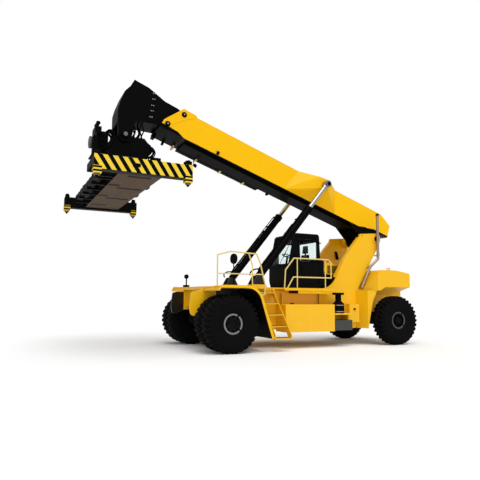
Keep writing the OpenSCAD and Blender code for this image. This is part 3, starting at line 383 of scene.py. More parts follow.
def bolt_row(places, axis, r=0.014, h=0.012):
    """Hexagon heads on their washers at many places, each standing on the same axis."""
    head = lathe([(r * 1.35, 0), (r * 1.35, h * 0.3), (r, h * 0.3), (r, h * 0.92), (r * 0.85, h)], 6)
    return copies(head, places, np.array(Vector(axis).to_track_quat("Z", "Y").to_matrix()))


sideways = (0, 1, 0)
plate_y = 0.9
zinc = metal("zinc_plated_bolts", (0.42, 0.41, 0.39), 0.38)
frame_bolts = []
for x in (-1.5, -2.5, -3.9, -5.1):
    zigzag = [(x - 0.018, plate_y, 0.92), (x - 0.018, plate_y, 1.28), (x + 0.018, plate_y, 1.1)]
    frame_bolts.append(bolt_row(zigzag, sideways, 0.011, 0.009))
add("frame_bolts", mirrored(frame_bolts), zinc)


# Tower. Two leaning plates carry the boom's pivot. Each has a bearing cap round the pin, bolted
# on, and the right-hand one shows the rubber boot that closes its hose passage.
def bolt_circle(centre, radius, count, axis, r, h, across=(1, 0, 0), up=(0, 0, 1)):
    """Bolts at even angles: each at the centre plus the radius times (across cos + up sin)."""
    a = np.linspace(0, 2 * np.pi, count, endpoint=False)[:, None]
    ring = np.cos(a) * np.asarray(across, float) + np.sin(a) * np.asarray(up, float)
    return bolt_row(np.asarray(centre, float) + radius * ring, axis, r, h)


wear(body_paint, "tower")
black_paint = painted(
    "satin_black_paint", (0.0035, 0.0035, 0.0038), 0.8, 0.42, 0.35, 0.25, (0.09, 0.075, 0.06))
deep_black = (0.0028, 0.0028, 0.0031)
dark_rubber = painted("black_hose_rubber", deep_black, 0.8, 0.62, 0.3, 0.0)
pivot_x, pivot_z = -6.0, 3.6
cap_profile = [(0.155, 0), (0.155, 0.026), (0.145, 0.034), (0.102, 0.034), (0.096, 0.028), (0.096, 0)]
pivot_cap = lathe(cap_profile, 48, (pivot_x, plate_y, pivot_z), sideways, hollow=True)
add("pivot_caps", mirrored([pivot_cap]), body_paint)
cap_bolts = bolt_circle((pivot_x, plate_y + 0.034, pivot_z), 0.128, 12, sideways, 0.012, 0.012)
add("pivot_cap_bolts", mirrored([cap_bolts]), zinc)
boot_profile = [
    (0.055, 0), (0.060, 0.05), (0.048, 0.10), (0.058, 0.14), (0.044, 0.19), (0.052, 0.24), (0.030, 0.30),
]
boot = lathe(boot_profile, 20, (-5.6, -0.80, 2.98), (0.25, 0, 1))
add("tower_boot", [boot], dark_rubber, smooth=True)
# Each corner hole is a black ring: its black is painted shade for the hole's opening.
hole_rim = [(0.022, 0), (0.022, 0.004), (0.016, 0.006), (0.016, 0)]
corner_hole = lathe(hole_rim, 20, (-5.38, plate_y, 3.69), sideways, hollow=True)
add("tower_corner_holes", mirrored([corner_hole]), black_paint)


# Counterweight. One iron casting, filled, faired and painted with the frame. Its curved tail
# carries a lamp cluster on each side, moulded lenses in a black case.
wear(painted("amber_casting_paint", amber, 0.88, 0.38, 0.45, 0.3), "counterweight")


def lens_finish(name, colour, glow=0.0):
    """A moulded lamp lens: prism ribs on a 12 mm pitch under clear plastic."""
    made, place, _, y, _ = begin(name)
    cloud = noise(place, 30.0)
    return close(made, place, {
        "Base Color": cloud.mix(darker(colour, 0.8), colour), "Roughness": cloud * 0.1 + 0.08,
        "Coat Weight": 0.6, "Emission Color": (*colour, 1), "Emission Strength": glow,
    }, (y.wrap(0.012) - 0.5).size(), 0.002, 0.5)


def plate(outline, depth, origin, right=(1, 0, 0), up=(0, 0, 1), bevel=0.0):
    """A flat outline of (across, up) points given a thickness, its edges drawn in by the bevel."""
    outline = np.asarray(outline, float)
    right, up = np.asarray(right, float), np.asarray(up, float)
    out = np.cross(up, right)
    middle = outline.mean(0)
    inner = middle + (outline - middle) * (1 - bevel / np.abs(outline - middle).max())
    levels = [(outline, 0), (outline, depth)]
    if bevel:
        levels = [(inner, 0), (outline, bevel), (outline, depth - bevel), (inner, depth)]
    start = np.asarray(origin, float)
    points = [o[:, :1] * right + o[:, 1:] * up + out * d + start for o, d in levels]
    faces = ring_faces(len(levels), len(outline))
    ahead_x, ahead_y = np.roll(outline, -1, 0).T
    if np.sum(outline[:, 0] * ahead_y - outline[:, 1] * ahead_x) > 0:
        faces = [f[::-1] for f in faces]
    return np.concatenate(points), faces


tail_x, tail_bow, lamp_y = -7.5, 0.48 / 1.4**2, 0.92
tail_along = np.array([2 * tail_bow * lamp_y, 1.0, 0.0])
tail_along /= np.linalg.norm(tail_along)
tail_out = np.array([-tail_along[1], tail_along[0], 0.0])
lamp_at = np.array([tail_x + tail_bow * lamp_y**2, lamp_y, 0.0])


def tail_brick(low, high, back, front, bevel):
    """A box on the curved tail, from low to high across it, standing out from back to front."""
    outline = [(low, 2.05), (high, 2.05), (high, 2.20), (low, 2.20)]
    return plate(outline, front - back, lamp_at + tail_out * back, tail_along, (0, 0, 1), bevel)


lamp_case = tail_brick(-0.21, 0.21, -0.012, 0.055, 0.012)
add("tail_lamp_cases", mirrored([lamp_case]), black_paint)
for name, low, high, colour, glow in (
    ("red", -0.195, -0.065, (0.42, 0.010, 0.008), 0.0),
    ("amber", -0.055, 0.055, (0.75, 0.22, 0.010), 0.0),
    ("clear", 0.065, 0.195, (0.72, 0.74, 0.76), 0.05),
):
    cover = mirrored([tail_brick(low, high, 0.050, 0.066, 0.004)])
    lens_paint = lens_finish(name + "_lamp_lens", colour, glow)
    add("tail_lamp_" + name, cover, lens_paint)


# Axles. Black iron castings: the drive axle's banjo and planetary hubs, and the steer axle's
# forks. Their iron is rough from the sand, and thick with road dirt underneath.
axle_paint = painted("black_axle_casting", (0.0040, 0.0040, 0.0043), 0.7, 0.55, 0.9, 0.4)
wear(axle_paint, "drive_axle", "steer_axle", "knuckle_left", "knuckle_right")
tyre_r = 0.81
banjo_bolts = bolt_circle((0, 0.21, tyre_r), 0.255, 12, sideways, 0.015, 0.014)
add("banjo_bolts", mirrored([banjo_bolts]), zinc)


# Tyres. Wide port tyres on 25 inch rims: black rubber, with a ring of heavy shoulder blocks each
# side, set half a pitch apart and joined down the middle. The side wall carries raised rings.
tyre_w, rim_r, wheelbase = 0.5, 0.317, 6.3


def rubber(name):
    """Tyre rubber: pale dust in cloudy patches, thicker on the tread than on the side walls, and fine
    grain.
    """
    made, place, x, _, z = begin(name)
    dx, dz = x + (x < -3.0) * wheelbase, z - tyre_r
    reach = dx * dx + dz * dz
    radius = reach.math("SQRT", reach)
    grain, cloud = noise(place, 160.0, 2.0), noise(place, 6.0, 5.0, 0.65)
    tread = ((radius - 0.74) * 18).clip()
    rings = (radius.wrap(0.018) > 0.8) * (1 - tread)
    dust = ((cloud - 0.42) * 1.8).clip() * (tread * 0.5 + 0.25)
    return close(made, place, {
        "Base Color": (dust * 0.5).clip().mix((0.0030, 0.0030, 0.0034), (0.026, 0.023, 0.020)),
        "Roughness": (cloud * 0.25 + 0.52 + dust * 0.2).clip(), "Specular IOR Level": 0.04,
    }, grain * 0.4 + rings * 0.15 + cloud * 0.3, 0.0015, 0.5)


def tread_tyre(blocks=32, per=16):
    """One tyre on the Y axis. Its section is a smooth line, and its radius at angle a and width y
    falls by the groove depth where the wrapped sum of a, y and a half pitch for the side is in a
    groove."""
    side = np.array([
        (0.76, rim_r), (0.87, rim_r + 0.018), (0.88, rim_r + 0.045), (0.93, 0.45), (0.98, 0.52),
        (1.0, 0.575), (0.995, 0.64), (0.985, 0.69), (0.955, 0.735), (0.915, 0.762), (0.86, 0.785),
        (0.74, 0.80), (0.56, 0.807), (0.36, 0.81), (0.16, 0.81), (0.03, 0.81),
    ])
    bead = np.array([(-0.5, rim_r), (0.0, rim_r), (0.5, rim_r)])
    section = np.concatenate([side, side[::-1] * (-1, 1), bead])
    y, r = section[:, 0] * tyre_w / 2, section[:, 1]
    across = np.abs(y) / (tyre_w / 2)
    n = blocks * per
    a = np.linspace(0, 2 * np.pi, n, endpoint=False)
    share = (a[:, None] * blocks / (2 * np.pi) + np.where(y > 0, 0.0, 0.5) + np.abs(y) * 2.2) % 1.0
    groove = np.clip((np.abs(share - 0.5) - 0.22) * 14, 0, 1)
    zone = np.clip((across - 0.12) * 9, 0, 1) * np.clip((r - 0.685) * 20, 0, 1)
    ridge = np.clip((0.035 - np.abs(across - 0.5)) * 60, 0, 1) * 0.4
    deep = r - groove * zone * 0.05 * (1 - ridge)
    pull = 1 - groove * zone * np.clip((across - 0.84) * 8, 0, 1) * 0.05
    points = np.stack([deep * np.cos(a)[:, None], y * pull, deep * np.sin(a)[:, None]], -1)
    return points.reshape(-1, 3), ring_faces(n, len(y), closed=True)


one_tyre, tyre_rubber = tread_tyre(), rubber("tyre_rubber")
hands = (("left", 1), ("right", -1))
steer_y, outer_y, inner_y = 1.385, 1.835, 1.285
for side, sign in hands:
    twins = [(0, sign * outer_y, tyre_r), (0, sign * inner_y, tyre_r)]
    for node, places, body in (
        ("front_tyres_" + side, twins, "front_wheels_" + side),
        ("rear_tyre_" + side, [(-wheelbase, sign * steer_y, tyre_r)], "rear_wheel_" + side),
    ):
        tyres = [copies(one_tyre, places)]
        made = add("treaded_" + node, tyres, tyre_rubber, body, smooth=True)
        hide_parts(node)


# Rims. Five-piece steel rims in dark paint. A flat ring in two parts stiffens the outer edge, in
# bare grey. Ten wheel nuts on studs clamp each rim to its hub.
rim_paint = painted("dark_rim_paint", (0.0030, 0.0030, 0.0034), 0.7, 0.5, 0.5, 0.3)
grey_ring = painted("grey_ring_paint", (0.20, 0.20, 0.21), 0.85, 0.5, 0.3, 0.2)
# The rear wheels' rings are given a darker grey than the front ones.
darker_ring = painted("dull_ring_paint", (0.055, 0.055, 0.058), 0.7, 0.55, 0.5, 0.2)
ring_profile = np.array([
    (0.2885, -0.014), (0.2885, 0.004), (0.280, 0.012), (0.238, 0.012), (0.229, 0.002), (0.229, -0.014),
])
ring_steps = 72


def ring_part(start, end, centre, axis):
    """Part of the lock ring, its profile turned from one angle to another and closed at both cuts."""
    a = np.radians(np.linspace(start, end, ring_steps))
    r, y = ring_profile[:, 0], ring_profile[:, 1] * axis
    level = np.broadcast_to(y, (ring_steps, len(r)))
    points = np.stack([np.cos(a)[:, None] * r, level, np.sin(a)[:, None] * r], -1).reshape(-1, 3)
    faces = ring_faces(ring_steps, len(r))
    return points + np.asarray(centre), faces if axis > 0 else [f[::-1] for f in faces]


for side, sign in hands:
    for kind, many, x, y, nut_r, face, ring_paint in (
        ("front", "s", 0.0, outer_y, 0.205, outer_y - 0.118, grey_ring),
        ("rear", "", -wheelbase, steer_y, 0.185, steer_y + 0.102, darker_ring),
    ):
        body = f"{kind}_wheel{many}_{side}"
        wear(rim_paint, f"{kind}_rim{many}_{side}")
        centre = (x, sign * (y + 0.186), tyre_r)
        rings = [ring_part(start, end, centre, sign) for start, end in ((131, 214), (226, 478))]
        add(f"{kind}_lock_ring_{side}", rings, ring_paint, body, smooth=True)
        nuts = bolt_circle((x, sign * face, tyre_r), nut_r, 10, (0, sign, 0), 0.019, 0.03)
        add(f"{kind}_wheel_nuts_{side}", [nuts], rim_paint, body)


# Side tanks, walkways, stair and handrails. Folded and welded steel. The tanks have a filler cap
# each, the stair has open grating treads, and the handrails are bent tube on small foot plates.
filler = lathe([(0.055, 0), (0.055, 0.03), (0.048, 0.038), (0.0, 0.040)], 24, (-2.35, 1.25, 1.34))
add("tank_filler_caps", mirrored([filler]), black_paint)


def brick(low, high, bevel=0.006):
    """A box between two corners with its long edges drawn in."""
    low, high = np.asarray(low, float), np.asarray(high, float)
    w, d, h = high - low
    outline = [(0, 0), (w, 0), (w, h), (0, h)]
    return plate(outline, d, low, bevel=min(bevel, w / 3, d / 3, h / 3))


feet = [
    brick((x - 0.06, y - 0.06, z), (x + 0.06, y + 0.06, z + 0.0117), 0.003)
    for x, y, z in ((-2.45, 1.40, 1.8003), (-3.49, 1.40, 1.8003), (0.37, 1.75, 1.8503))
]
add("handrail_feet", feet, rail_paint)
grate = metal("galvanised_tread", (0.13, 0.125, 0.12), 0.5, 0.6, 0.5)
tread_x, tread_w = -1.80, 0.47
treads = []
for step in range(5):
    y0, z0 = max(1.83 - step * 0.235, 0.9), 0.3953 + step * 0.325
    base = (tread_x, y0 + 0.008, z0 - 0.0002), (tread_x + tread_w, y0 + 0.227, z0 + 0.004)
    treads.append(brick(*base, 0.001))
    long_bars = [(tread_x, y0 + 0.02 + d, z0) for d in np.arange(0, 0.2, 0.028)]
    treads.append(copies(brick((0, 0, 0), (tread_w, 0.010, 0.014), 0.003), long_bars))
    cross_bars = [(tread_x + 0.02 + d, y0 + 0.012, z0) for d in (0.0, 0.14, 0.28, 0.42)]
    treads.append(copies(brick((0, 0, 0), (0.010, 0.215, 0.012), 0.003), cross_bars))
add("stair_treads", treads, grate)


# Service boxes, air cleaner and exhaust. Behind the left tank stand a plastic air cleaner with
# its rain cap and the battery isolator's box, and heat-tanned pipe climbs past the tower.
def box_areas(x, y, z, face):
    """The low box is grey: the places below its lid's height, in front of the isolator's box."""
    return [((z < 0.845) * (x > -4.55), (0.035, 0.040, 0.038))]


wear(painted("service_box_paint", amber, areas=box_areas), "service_boxes")
plastic = painted("black_moulded_plastic", (0.0035, 0.0035, 0.0038), 0.8, 0.48, 0.3, 0.0)
wear(plastic, "air_cleaner")
exhaust_steel = metal("heat_tanned_steel", (0.40, 0.32, 0.26), 0.34, 0.8)
wear(exhaust_steel, "exhaust_stack")
stack_y = 0.995
clamp_profile = [(0.056, 0), (0.056, 0.045), (0.049, 0.045), (0.049, 0)]
clamps = [lathe(clamp_profile, 28, (-5.995, stack_y, z), hollow=True) for z in (3.02, 4.36)]
add("exhaust_clamps", clamps, exhaust_steel)
mouth_profile = [(0.050, 4.41), (0.057, 4.42), (0.057, 4.478), (0.050, 4.479)]
mouth = lathe(mouth_profile, 28, (-6.0, stack_y, 0), hollow=True)
add("exhaust_mouth_ring", [mouth], plastic)
knob_profile = [(0.030, 0), (0.034, 0.012), (0.026, 0.03), (0.028, 0.05), (0.0, 0.056)]
knob = lathe(knob_profile, 20, (-4.84, 1.11, 1.18), sideways)
add("isolator_knob", [knob], plastic)
band_profile = [(0.194, 0), (0.194, 0.022), (0.189, 0.022), (0.189, 0)]
bands = [lathe(band_profile, 40, (-4.08, 1.26, z), hollow=True) for z in (1.10, 1.30)]
add("air_cleaner_bands", bands, zinc)


# Engine cover. A pressed steel hood over the engine, hinged at its rear edge, with louvres in its
# sides and a toggle latch at each front corner.
wear(axle_paint, "engine_block")
wear(black_paint, "engine_casing")
wear(body_paint, "engine_hood")
hood_y = 0.4805
slat_heights = np.arange(2.38, 2.62, 0.034)
slats = [brick((-4.72, hood_y, z), (-4.22, 0.490, z + 0.018), 0.004) for z in slat_heights]
add("hood_louvres", mirrored(slats), black_paint, "hood")
latch = brick((-4.12, hood_y, 2.352), (-4.08, 0.497, 2.43), 0.004)
add("hood_latches", mirrored([latch]), zinc, "hood")


# Cab. A welded cab in satin black with big bonded windows in rubber seals. The door opens
# rearward, hinged at its back edge. Inside are a sprung seat, a steering column and a console.
cab_black = painted("satin_cab_black", (0.0050, 0.0054, 0.0058), 0.85, 0.38, 0.25, 0.2)
wear(cab_black, "cab_shell", "door")
wear(plastic, "deck_lamps")


def cab_cloth(name):
    """Grey-black seat fabric with a 3 mm weave, and the moulded trim's fine grain."""
    made, place, x, y, z = begin(name)
    weave = ((x + z).wrap(0.006) - 0.5) * ((y - z).wrap(0.006) - 0.5) * 3 + noise(place, 60.0) * 0.4
    cloud = noise(place, 5.0)
    return close(made, place, {
        "Base Color": cloud.mix(deep_black, (0.0060, 0.0060, 0.0065)),
        "Roughness": cloud * 0.2 + 0.65,
    }, weave, 0.001, 0.5)


def window_glass(name):
    """Faintly green glass, a little rougher where its smears are thick."""
    made, place, *_ = begin(name)
    film = noise(place, 3.0, 5.0)
    return close(made, place, {
        "Base Color": film.mix((0.86, 0.93, 0.93), (0.90, 0.96, 0.96)),
        "Roughness": ((film - 0.5) * 0.12).clip() + 0.01, "Transmission Weight": 1.0, "IOR": 1.15,
    })


wear(cab_cloth("cab_trim_and_cloth"), "cab_interior")
wear(window_glass("cab_window_glass"), "cab_glass", "door_glass")


def tube(path, radius, sides=10):
    """A round bar carried along a path of points, with flat ends: a ring of points at each place."""
    path = np.asarray(path, float)
    run = np.gradient(path, axis=0)
    run /= np.linalg.norm(run, axis=1)[:, None]
    guide = np.array([0.13, 0.21, 0.97]) if abs(run[0][2]) < 0.9 else np.array([0.97, 0.21, 0.13])
    side = np.cross(run, guide)
    side /= np.linalg.norm(side, axis=1)[:, None]
    rise = np.cross(side, run)
    turn = np.linspace(0, 2 * np.pi, sides, endpoint=False)
    width = np.broadcast_to(np.asarray(radius, float), (len(path),))[:, None, None]
    ring = side[:, None] * np.cos(turn)[None, :, None] + rise[:, None] * np.sin(turn)[None, :, None]
    points = (path[:, None] + ring * width).reshape(-1, 3)
    faces = ring_faces(len(path), sides)
    return points, [[f[0], *f[:0:-1]] for f in faces[:-2]] + [f[::-1] for f in faces[-2:]]


def hose(points, count, radius, sides=10):
    """A round bar on a smooth curve through a few points: a Catmull-Rom spline, which at share t
    between two points is a cubic in t whose slope at each is half the step past it."""
    p = np.asarray(points, float)
    p = np.concatenate([2 * p[:1] - p[1:2], p, 2 * p[-1:] - p[-2:-1]])
    t = np.linspace(0, len(p) - 3 - 1e-6, count)
    i = t.astype(int)
    t = (t - i)[:, None]
    a, b, c, d = p[i], p[i + 1], p[i + 2], p[i + 3]
    curve = 2 * b + (c - a) * t + (2 * a - 5 * b + 4 * c - d) * t**2 + (3 * b - a - 3 * c + d) * t**3
    return tube(0.5 * curve, radius, sides)


def seal(corners, radius, steps=6, turn=0.05):
    """A rubber seal: a closed tube round four corners, each rounded by a parabola between the
    points that lie the turn's length before and after it."""
    c = np.asarray(corners, float)
    path = []
    for i in range(len(c)):
        a, b, d = c[i - 1], c[i], c[(i + 1) % len(c)]
        back, on = (a - b) / np.linalg.norm(a - b), (d - b) / np.linalg.norm(d - b)
        t = np.linspace(0, 1, steps)[:, None]
        path.append((1 - t) ** 2 * (b + back * turn) + 2 * t * (1 - t) * b + t**2 * (b + on * turn))
    path = np.concatenate(path)
    return tube(np.concatenate([path, path[:1]]), radius, 8)


def screen(z, out=0.0):
    """X of the windscreen's face at a height: it leans back 0.23 in 1.1 above the sill."""
    return -2.612 - max(0.0, z - 2.55) / 1.1 * 0.23 + out


def pane(x0, x1, z0, z1, y):
    return [(x0, y, z0), (x1, y, z0), (x1, y, z1), (x0, y, z1)]


side_y, low, top = 0.668, 2.70, 3.40
screen_low, screen_top, screen_y = 2.64, 3.44, 0.58
screen_corners = [
    (screen(z), y, z) for z, y in (
        (screen_low, screen_y), (screen_low, -screen_y), (screen_top, -screen_y), (screen_top, screen_y))
]
seals = [seal(pane(-3.69, -2.96, low, top, -side_y), 0.013), seal(screen_corners, 0.014)]
add("cab_window_seals", seals, dark_rubber, smooth=True)
door_seal = seal(pane(-3.67, -2.98, low, top, side_y), 0.013)
add("door_window_seal", [door_seal], dark_rubber, "cab_door", smooth=True)
wiper = [
    hose([
        (screen(z, out), y, z)
        for out, y, z in ((0.03, 0.05, 2.6), (0.045, 0.18, 2.8), (0.03, 0.34, 3.1))
    ], 12, 0.008),
    tube([(screen(z, 0.022), y, z) for y, z in ((0.22, 2.86), (0.34, 3.1), (0.46, 3.34))], 0.009),
    lathe([(0.03, 0), (0.03, 0.03), (0.02, 0.04)], 16, (screen(2.6, -0.01), 0.05, 2.60), (1, 0, 0.2)),
]
add("screen_wiper", wiper, plastic, smooth=True)
handle_side = ((0.672, 2.42), (0.715, 2.44), (0.715, 2.58), (0.672, 2.60))
handle = hose([(-3.05, y, z) for y, z in handle_side], 14, 0.010)
add("door_handle", [handle], plastic, "cab_door", smooth=True)
roof = brick((-3.68, -0.56, 3.6505), (-2.98, 0.56, 3.668), 0.008)
add("cab_roof_panel", [roof], cab_black)
grab = [(-2.78, 0.672, 2.2), (-2.78, 0.72, 2.22), (-2.79, 0.72, 2.9), (-2.80, 0.672, 2.92)]
add("cab_grab_rail", [hose(grab, 20, 0.014)], plastic, smooth=True)
visor = brick((-3.63, 0.6715, 3.46), (-3.02, 0.678, 3.58), 0.003)
add("cab_side_visor", [visor], plastic)


# Boom. Two box sections of plate, welded along their corners. The outer one is amber, with black
# painted shade on its underside and root, and carries an energy chain on clips. The inner one is black.
lean = math.radians(18.9)
along = np.array([math.cos(lean), 0.0, math.sin(lean)])
square = np.array([-math.sin(lean), 0.0, math.cos(lean)])


def boom_places(points):
    """Points of the boom's own axes, (along it, sideways, square to it) from its pivot, put in place."""
    return np.asarray(points, float) @ [along, sideways, square] + (pivot_x, 0, pivot_z)


def on_boom(part):
    """A part drawn with X along the boom and Z square to it, put in its place."""
    return boom_places(part[0]), part[1]


def boom_finish(name):
    """Amber paint, with painted shade in gloss black on the plates that face down along the boom's
    underside and on the foot of its root. The root's edge falls as the place comes forward."""
    made, place, x, y, z = begin(name)
    faces = place.node("TexCoord", pick=1)
    towards = {0: faces, 1: tuple(-square)}
    facing_down = place.node("VectorMath", {"operation": "DOT_PRODUCT"}, towards, pick=1)
    up = (z - pivot_z) * math.cos(lean) - (x - pivot_x) * math.sin(lean)
    forward = (x - pivot_x) * math.cos(lean) + (z - pivot_z) * math.sin(lean)
    under = (facing_down > 0.75) * (up < 0.52)
    root_side = (up < 0.46) * (up + forward * 0.27 < 0.44) * (forward < 0.6)
    root_inside = (y.size() < 0.5) * (up < 0.45) * (forward < 0.8)
    # Painted shade: black on the boom's underside and root, where its amber lies in shadow.
    black = (under + (up < 0.30) + root_side + root_inside).clip()
    broad, fine, peel = noise(place, 0.5), noise(place, 6.0, 6.0, 0.65), noise(place, 110.0, 2.0)
    streak = (noise(place, 3.0, 4.0, 0.6, (3.0, 3.0, 0.3)) - 0.56).clip() * 0.8
    chip = (noise(place, 19.0, 5.0, 0.6) > 0.75) * (noise(place, 1.5) > 0.55) * 0.4
    tone = broad.mix(darker(amber, 0.93), amber)
    tone = (streak * 0.3).clip().mix(tone, (0.55, 0.26, 0.01))
    tone = chip.mix(tone, (0.2, 0.14, 0.09))
    tone = black.mix(tone, (0.0026, 0.0026, 0.0029))
    return close(made, place, {
        "Base Color": tone, "Roughness": (fine * 0.16 + 0.22 + chip * 0.3 + black * 0.12).clip(),
        "Coat Weight": (1 - black) * 0.12, "Coat Roughness": 0.1, "Specular IOR Level": 0.05,
    }, peel * 0.3 + fine * 0.5 - chip * 0.7, 0.0012, 0.35)


boom_paint = boom_finish("amber_boom_paint")
worn_primer = (0.08, 0.07, 0.06)
inner_paint = painted("black_inner_boom", deep_black, 0.8, 0.36, 0.2, 0.25, worn_primer)
wear(boom_paint, "boom_outer")
wear(inner_paint, "boom_inner")
wear(plastic, "cable_tray")
boom_y = 0.5302
nose = [
    (7.43, 1.015), (7.60, 0.93), (7.93, 0.60), (8.02, 0.52), (7.96, 0.43), (8.27, 0.44), (8.235, 0.575),
    (7.83, 1.165), (7.42, 1.155),
]
doubler = on_boom(plate(nose, 0.008, (0, boom_y, 0), bevel=0.003))
add("boom_nose_doublers", mirrored([doubler]), boom_paint, "outer_boom")
nose_pins = ((7.76, 0.995), (8.13, 0.485))
pin_profile = [(0.082, 0), (0.082, 0.018), (0.07, 0.024), (0.04, 0.024), (0.036, 0.034), (0.0, 0.036)]
pins = [on_boom(lathe(pin_profile, 32, (u, 0.539, w), sideways)) for u, w in nose_pins]
add("boom_nose_pins", mirrored(pins), black_paint, "outer_boom")
pin_bolt = [(0.026, 0), (0.026, 0.006), (0.0, 0.008)]
pin_bolts = [on_boom(lathe(pin_bolt, 6, (u, 0.575, w), sideways)) for u, w in nose_pins]
add("boom_nose_bolts", mirrored(pin_bolts), zinc, "outer_boom")

mouth_back, mouth_front, mouth_low = 7.525, 8.319, 0.3055
collar_side = [(mouth_back, mouth_low), (mouth_front, mouth_low), (8.299, 0.4335), (7.75, 0.4035)]
collar = [plate(collar_side, 0.0195, (0, y, 0)) for y in (-0.5297, 0.5102)]
collar += [
    brick((mouth_back, -0.5098, mouth_low), (mouth_front, 0.5098, 0.3245), 0.003),
    brick((7.86, -0.5297, 0.19), (7.93, -0.40, 0.3060), 0.006),
    brick((8.20, -0.5297, 0.215), (8.30, -0.30, 0.3060), 0.006),
]
add("boom_mouth_collar", [on_boom(part) for part in collar], inner_paint, "outer_boom")
beads = 0.006 + 0.0012 * np.sin(np.arange(60) * 2.1)
seam_run = np.linspace(-0.1, 7.3, 60)
welds = [on_boom(tube([(u, 0.529, w) for u in seam_run], beads, 6)) for w in (0.312, 1.098)]
add("boom_corner_welds", mirrored(welds), boom_paint, "outer_boom", smooth=True)
bracket = on_boom(brick((6.32, boom_y, 0.31), (6.40, 0.60, 0.41), 0.008))
add("boom_side_bracket", [bracket], black_paint, "outer_boom")
link_places = [(u, -0.53, 0.205) for u in np.arange(4.35, 7.35, 0.088)]
links = on_boom(copies(brick((0, 0, 0), (0.078, 0.20, 0.07), 0.012), link_places))
add("energy_chain", [links], plastic, "outer_boom")
clips = [
    on_boom(brick((u, -0.56, 0.185), (u + 0.06, -0.31, 0.30), 0.01)) for u in (7.53, 6.68, 5.78, 4.88)
]
add("chain_clips", clips, rail_paint, "outer_boom")
lamp_body = [(0.03, -0.06), (0.05, -0.05), (0.07, 0.0), (0.07, 0.02), (0.062, 0.025)]
work_lamp = [
    hose(boom_places([(6.74, -0.44, 0.20), (6.74, -0.44, 0.12), (6.70, -0.44, 0.06)]), 8, 0.012),
    on_boom(lathe(lamp_body, 24, (6.66, -0.44, 0.03), (0.5, 0, -1))),
]
add("boom_work_lamp", work_lamp, plastic, "outer_boom", smooth=True)


# Lift cylinders. Welded steel cylinders with ground, chromed rods. The pressure lines run up each
# barrel in clamps, and short hoses join them to the frame at the foot.
barrel_paint = painted("black_barrel_paint", (0.0026, 0.0026, 0.0029), 0.8, 0.34, 0.2, 0.1)
chrome = metal("hard_chromed_rod", (0.42, 0.41, 0.40), 0.16, 0.15)
foot_x, foot_z, eye_x, eye_z, lift_y = -1.26, 2.10, -3.8936, 5.3200, 0.98
run = np.array([eye_x - foot_x, 0.0, eye_z - foot_z]) / math.hypot(eye_x - foot_x, eye_z - foot_z)
front = np.cross((0, 1, 0), run)


def by_barrel(points, sign):
    """Points given as (along the barrel, outwards, towards its front) from the foot pin, put in
    place on the left-hand side for sign 1 and on the right-hand side for sign -1."""
    foot = (foot_x, sign * lift_y, foot_z)
    return np.asarray(points, float) @ [run, (0, sign, 0), front] + foot


gland_profile = [
    (0.1325, 2.90), (0.1365, 2.905), (0.1365, 3.03), (0.128, 3.046), (0.078, 3.046), (0.078, 3.030),
]
cap_profile = [(0.070, 0), (0.070, 0.012), (0.058, 0.020), (0.0, 0.021)]
for side, sign in hands:
    wear(barrel_paint, "lift_barrel_" + side)
    wear(chrome, "lift_rod_" + side)
    body = "barrel_" + side
    lines = [hose(by_barrel([
        (0.28, o, 0.10), (0.34, o, 0.145), (1.5, o, 0.145), (end - 0.06, o, 0.145), (end, o, 0.11),
    ], sign), 30, r) for o, r, end in ((0.055, 0.016, 2.86), (-0.02, 0.013, 2.2))]
    clamps = [[(t, 0.085, 0.14), (t, -0.05, 0.14)] for t in (0.6, 1.2, 1.8, 2.4)]
    lines += [tube(by_barrel(clamp, sign), 0.024, 8) for clamp in clamps]
    add("barrel_lines_" + side, lines, barrel_paint, body, smooth=True)
    gland = lathe(gland_profile, 48, (foot_x, sign * lift_y, foot_z), run)
    add("gland_ring_" + side, [gland], barrel_paint, body)
    gland_end = by_barrel([(3.0455, 0, 0)], sign)[0]
    gland_bolts = bolt_circle(gland_end, 0.104, 12, tuple(run), 0.010, 0.010, (0, sign, 0), front)
    add("gland_bolts_" + side, [gland_bolts], zinc, body)
    pin_cap = lathe(cap_profile, 32, (eye_x, sign * (lift_y + 0.132), eye_z), (0, sign, 0))
    add("rod_pin_cap_" + side, [pin_cap], black_paint, "rod_" + side)
    feed = [(0.3, 0.055, 0.12), (0.16, 0.06, 0.26), (0.02, 0.03, 0.30), (-0.06, -0.02, 0.24)]
    add("barrel_feed_" + side, [hose(by_barrel(feed, sign), 18, 0.021)], dark_rubber, body, smooth=True)


# Boom head and yoke. The black goose neck ends in two cheeks with the tilt pin between them. Its
# nose is bolted on, the pin has a flanged cap with a keeper, and hoses drop to the rotator.
head_paint = painted("black_head_paint", deep_black, 0.8, 0.4, 0.3, 0.3, worn_primer)
wear(head_paint, "head_yoke", "rotator", "power_pack")
tilt_x, tilt_z, cheek_y = 2.77, 6.2, 0.42
seam = np.array([(1.93, 7.60), (1.95, 7.42), (1.975, 7.22), (1.99, 7.05), (2.02, 6.86)])
seam_places = [(x + dx, cheek_y, z) for x, z in seam for dx in (-0.03, 0.03)]
seam_bolts = bolt_row(seam_places, sideways, 0.016, 0.014)
add("neck_seam_bolts", mirrored([seam_bolts]), zinc, "inner_boom")
strip = np.concatenate([seam - (0.055, 0), seam[::-1] + (0.055, 0)])
seam_strip = plate(strip, 0.010, (0, cheek_y + 0.0002, 0), bevel=0.003)
add("neck_seam_strips", mirrored([seam_strip]), inner_paint, "inner_boom")
tilt_profile = [(0.115, 0), (0.115, 0.02), (0.09, 0.026), (0.085, 0.055), (0.03, 0.06), (0.0, 0.06)]
tilt_cap = lathe(tilt_profile, 36, (tilt_x, 0.461, tilt_z), sideways)
keeper_side = [(-0.145, -0.035), (-0.07, -0.07), (0.07, -0.07), (0.145, -0.035)]
keeper_outline = [(tilt_x + x, tilt_z + z) for x, z in keeper_side]
keeper_outline += [(tilt_x + x, tilt_z - z) for x, z in keeper_side[::-1]]
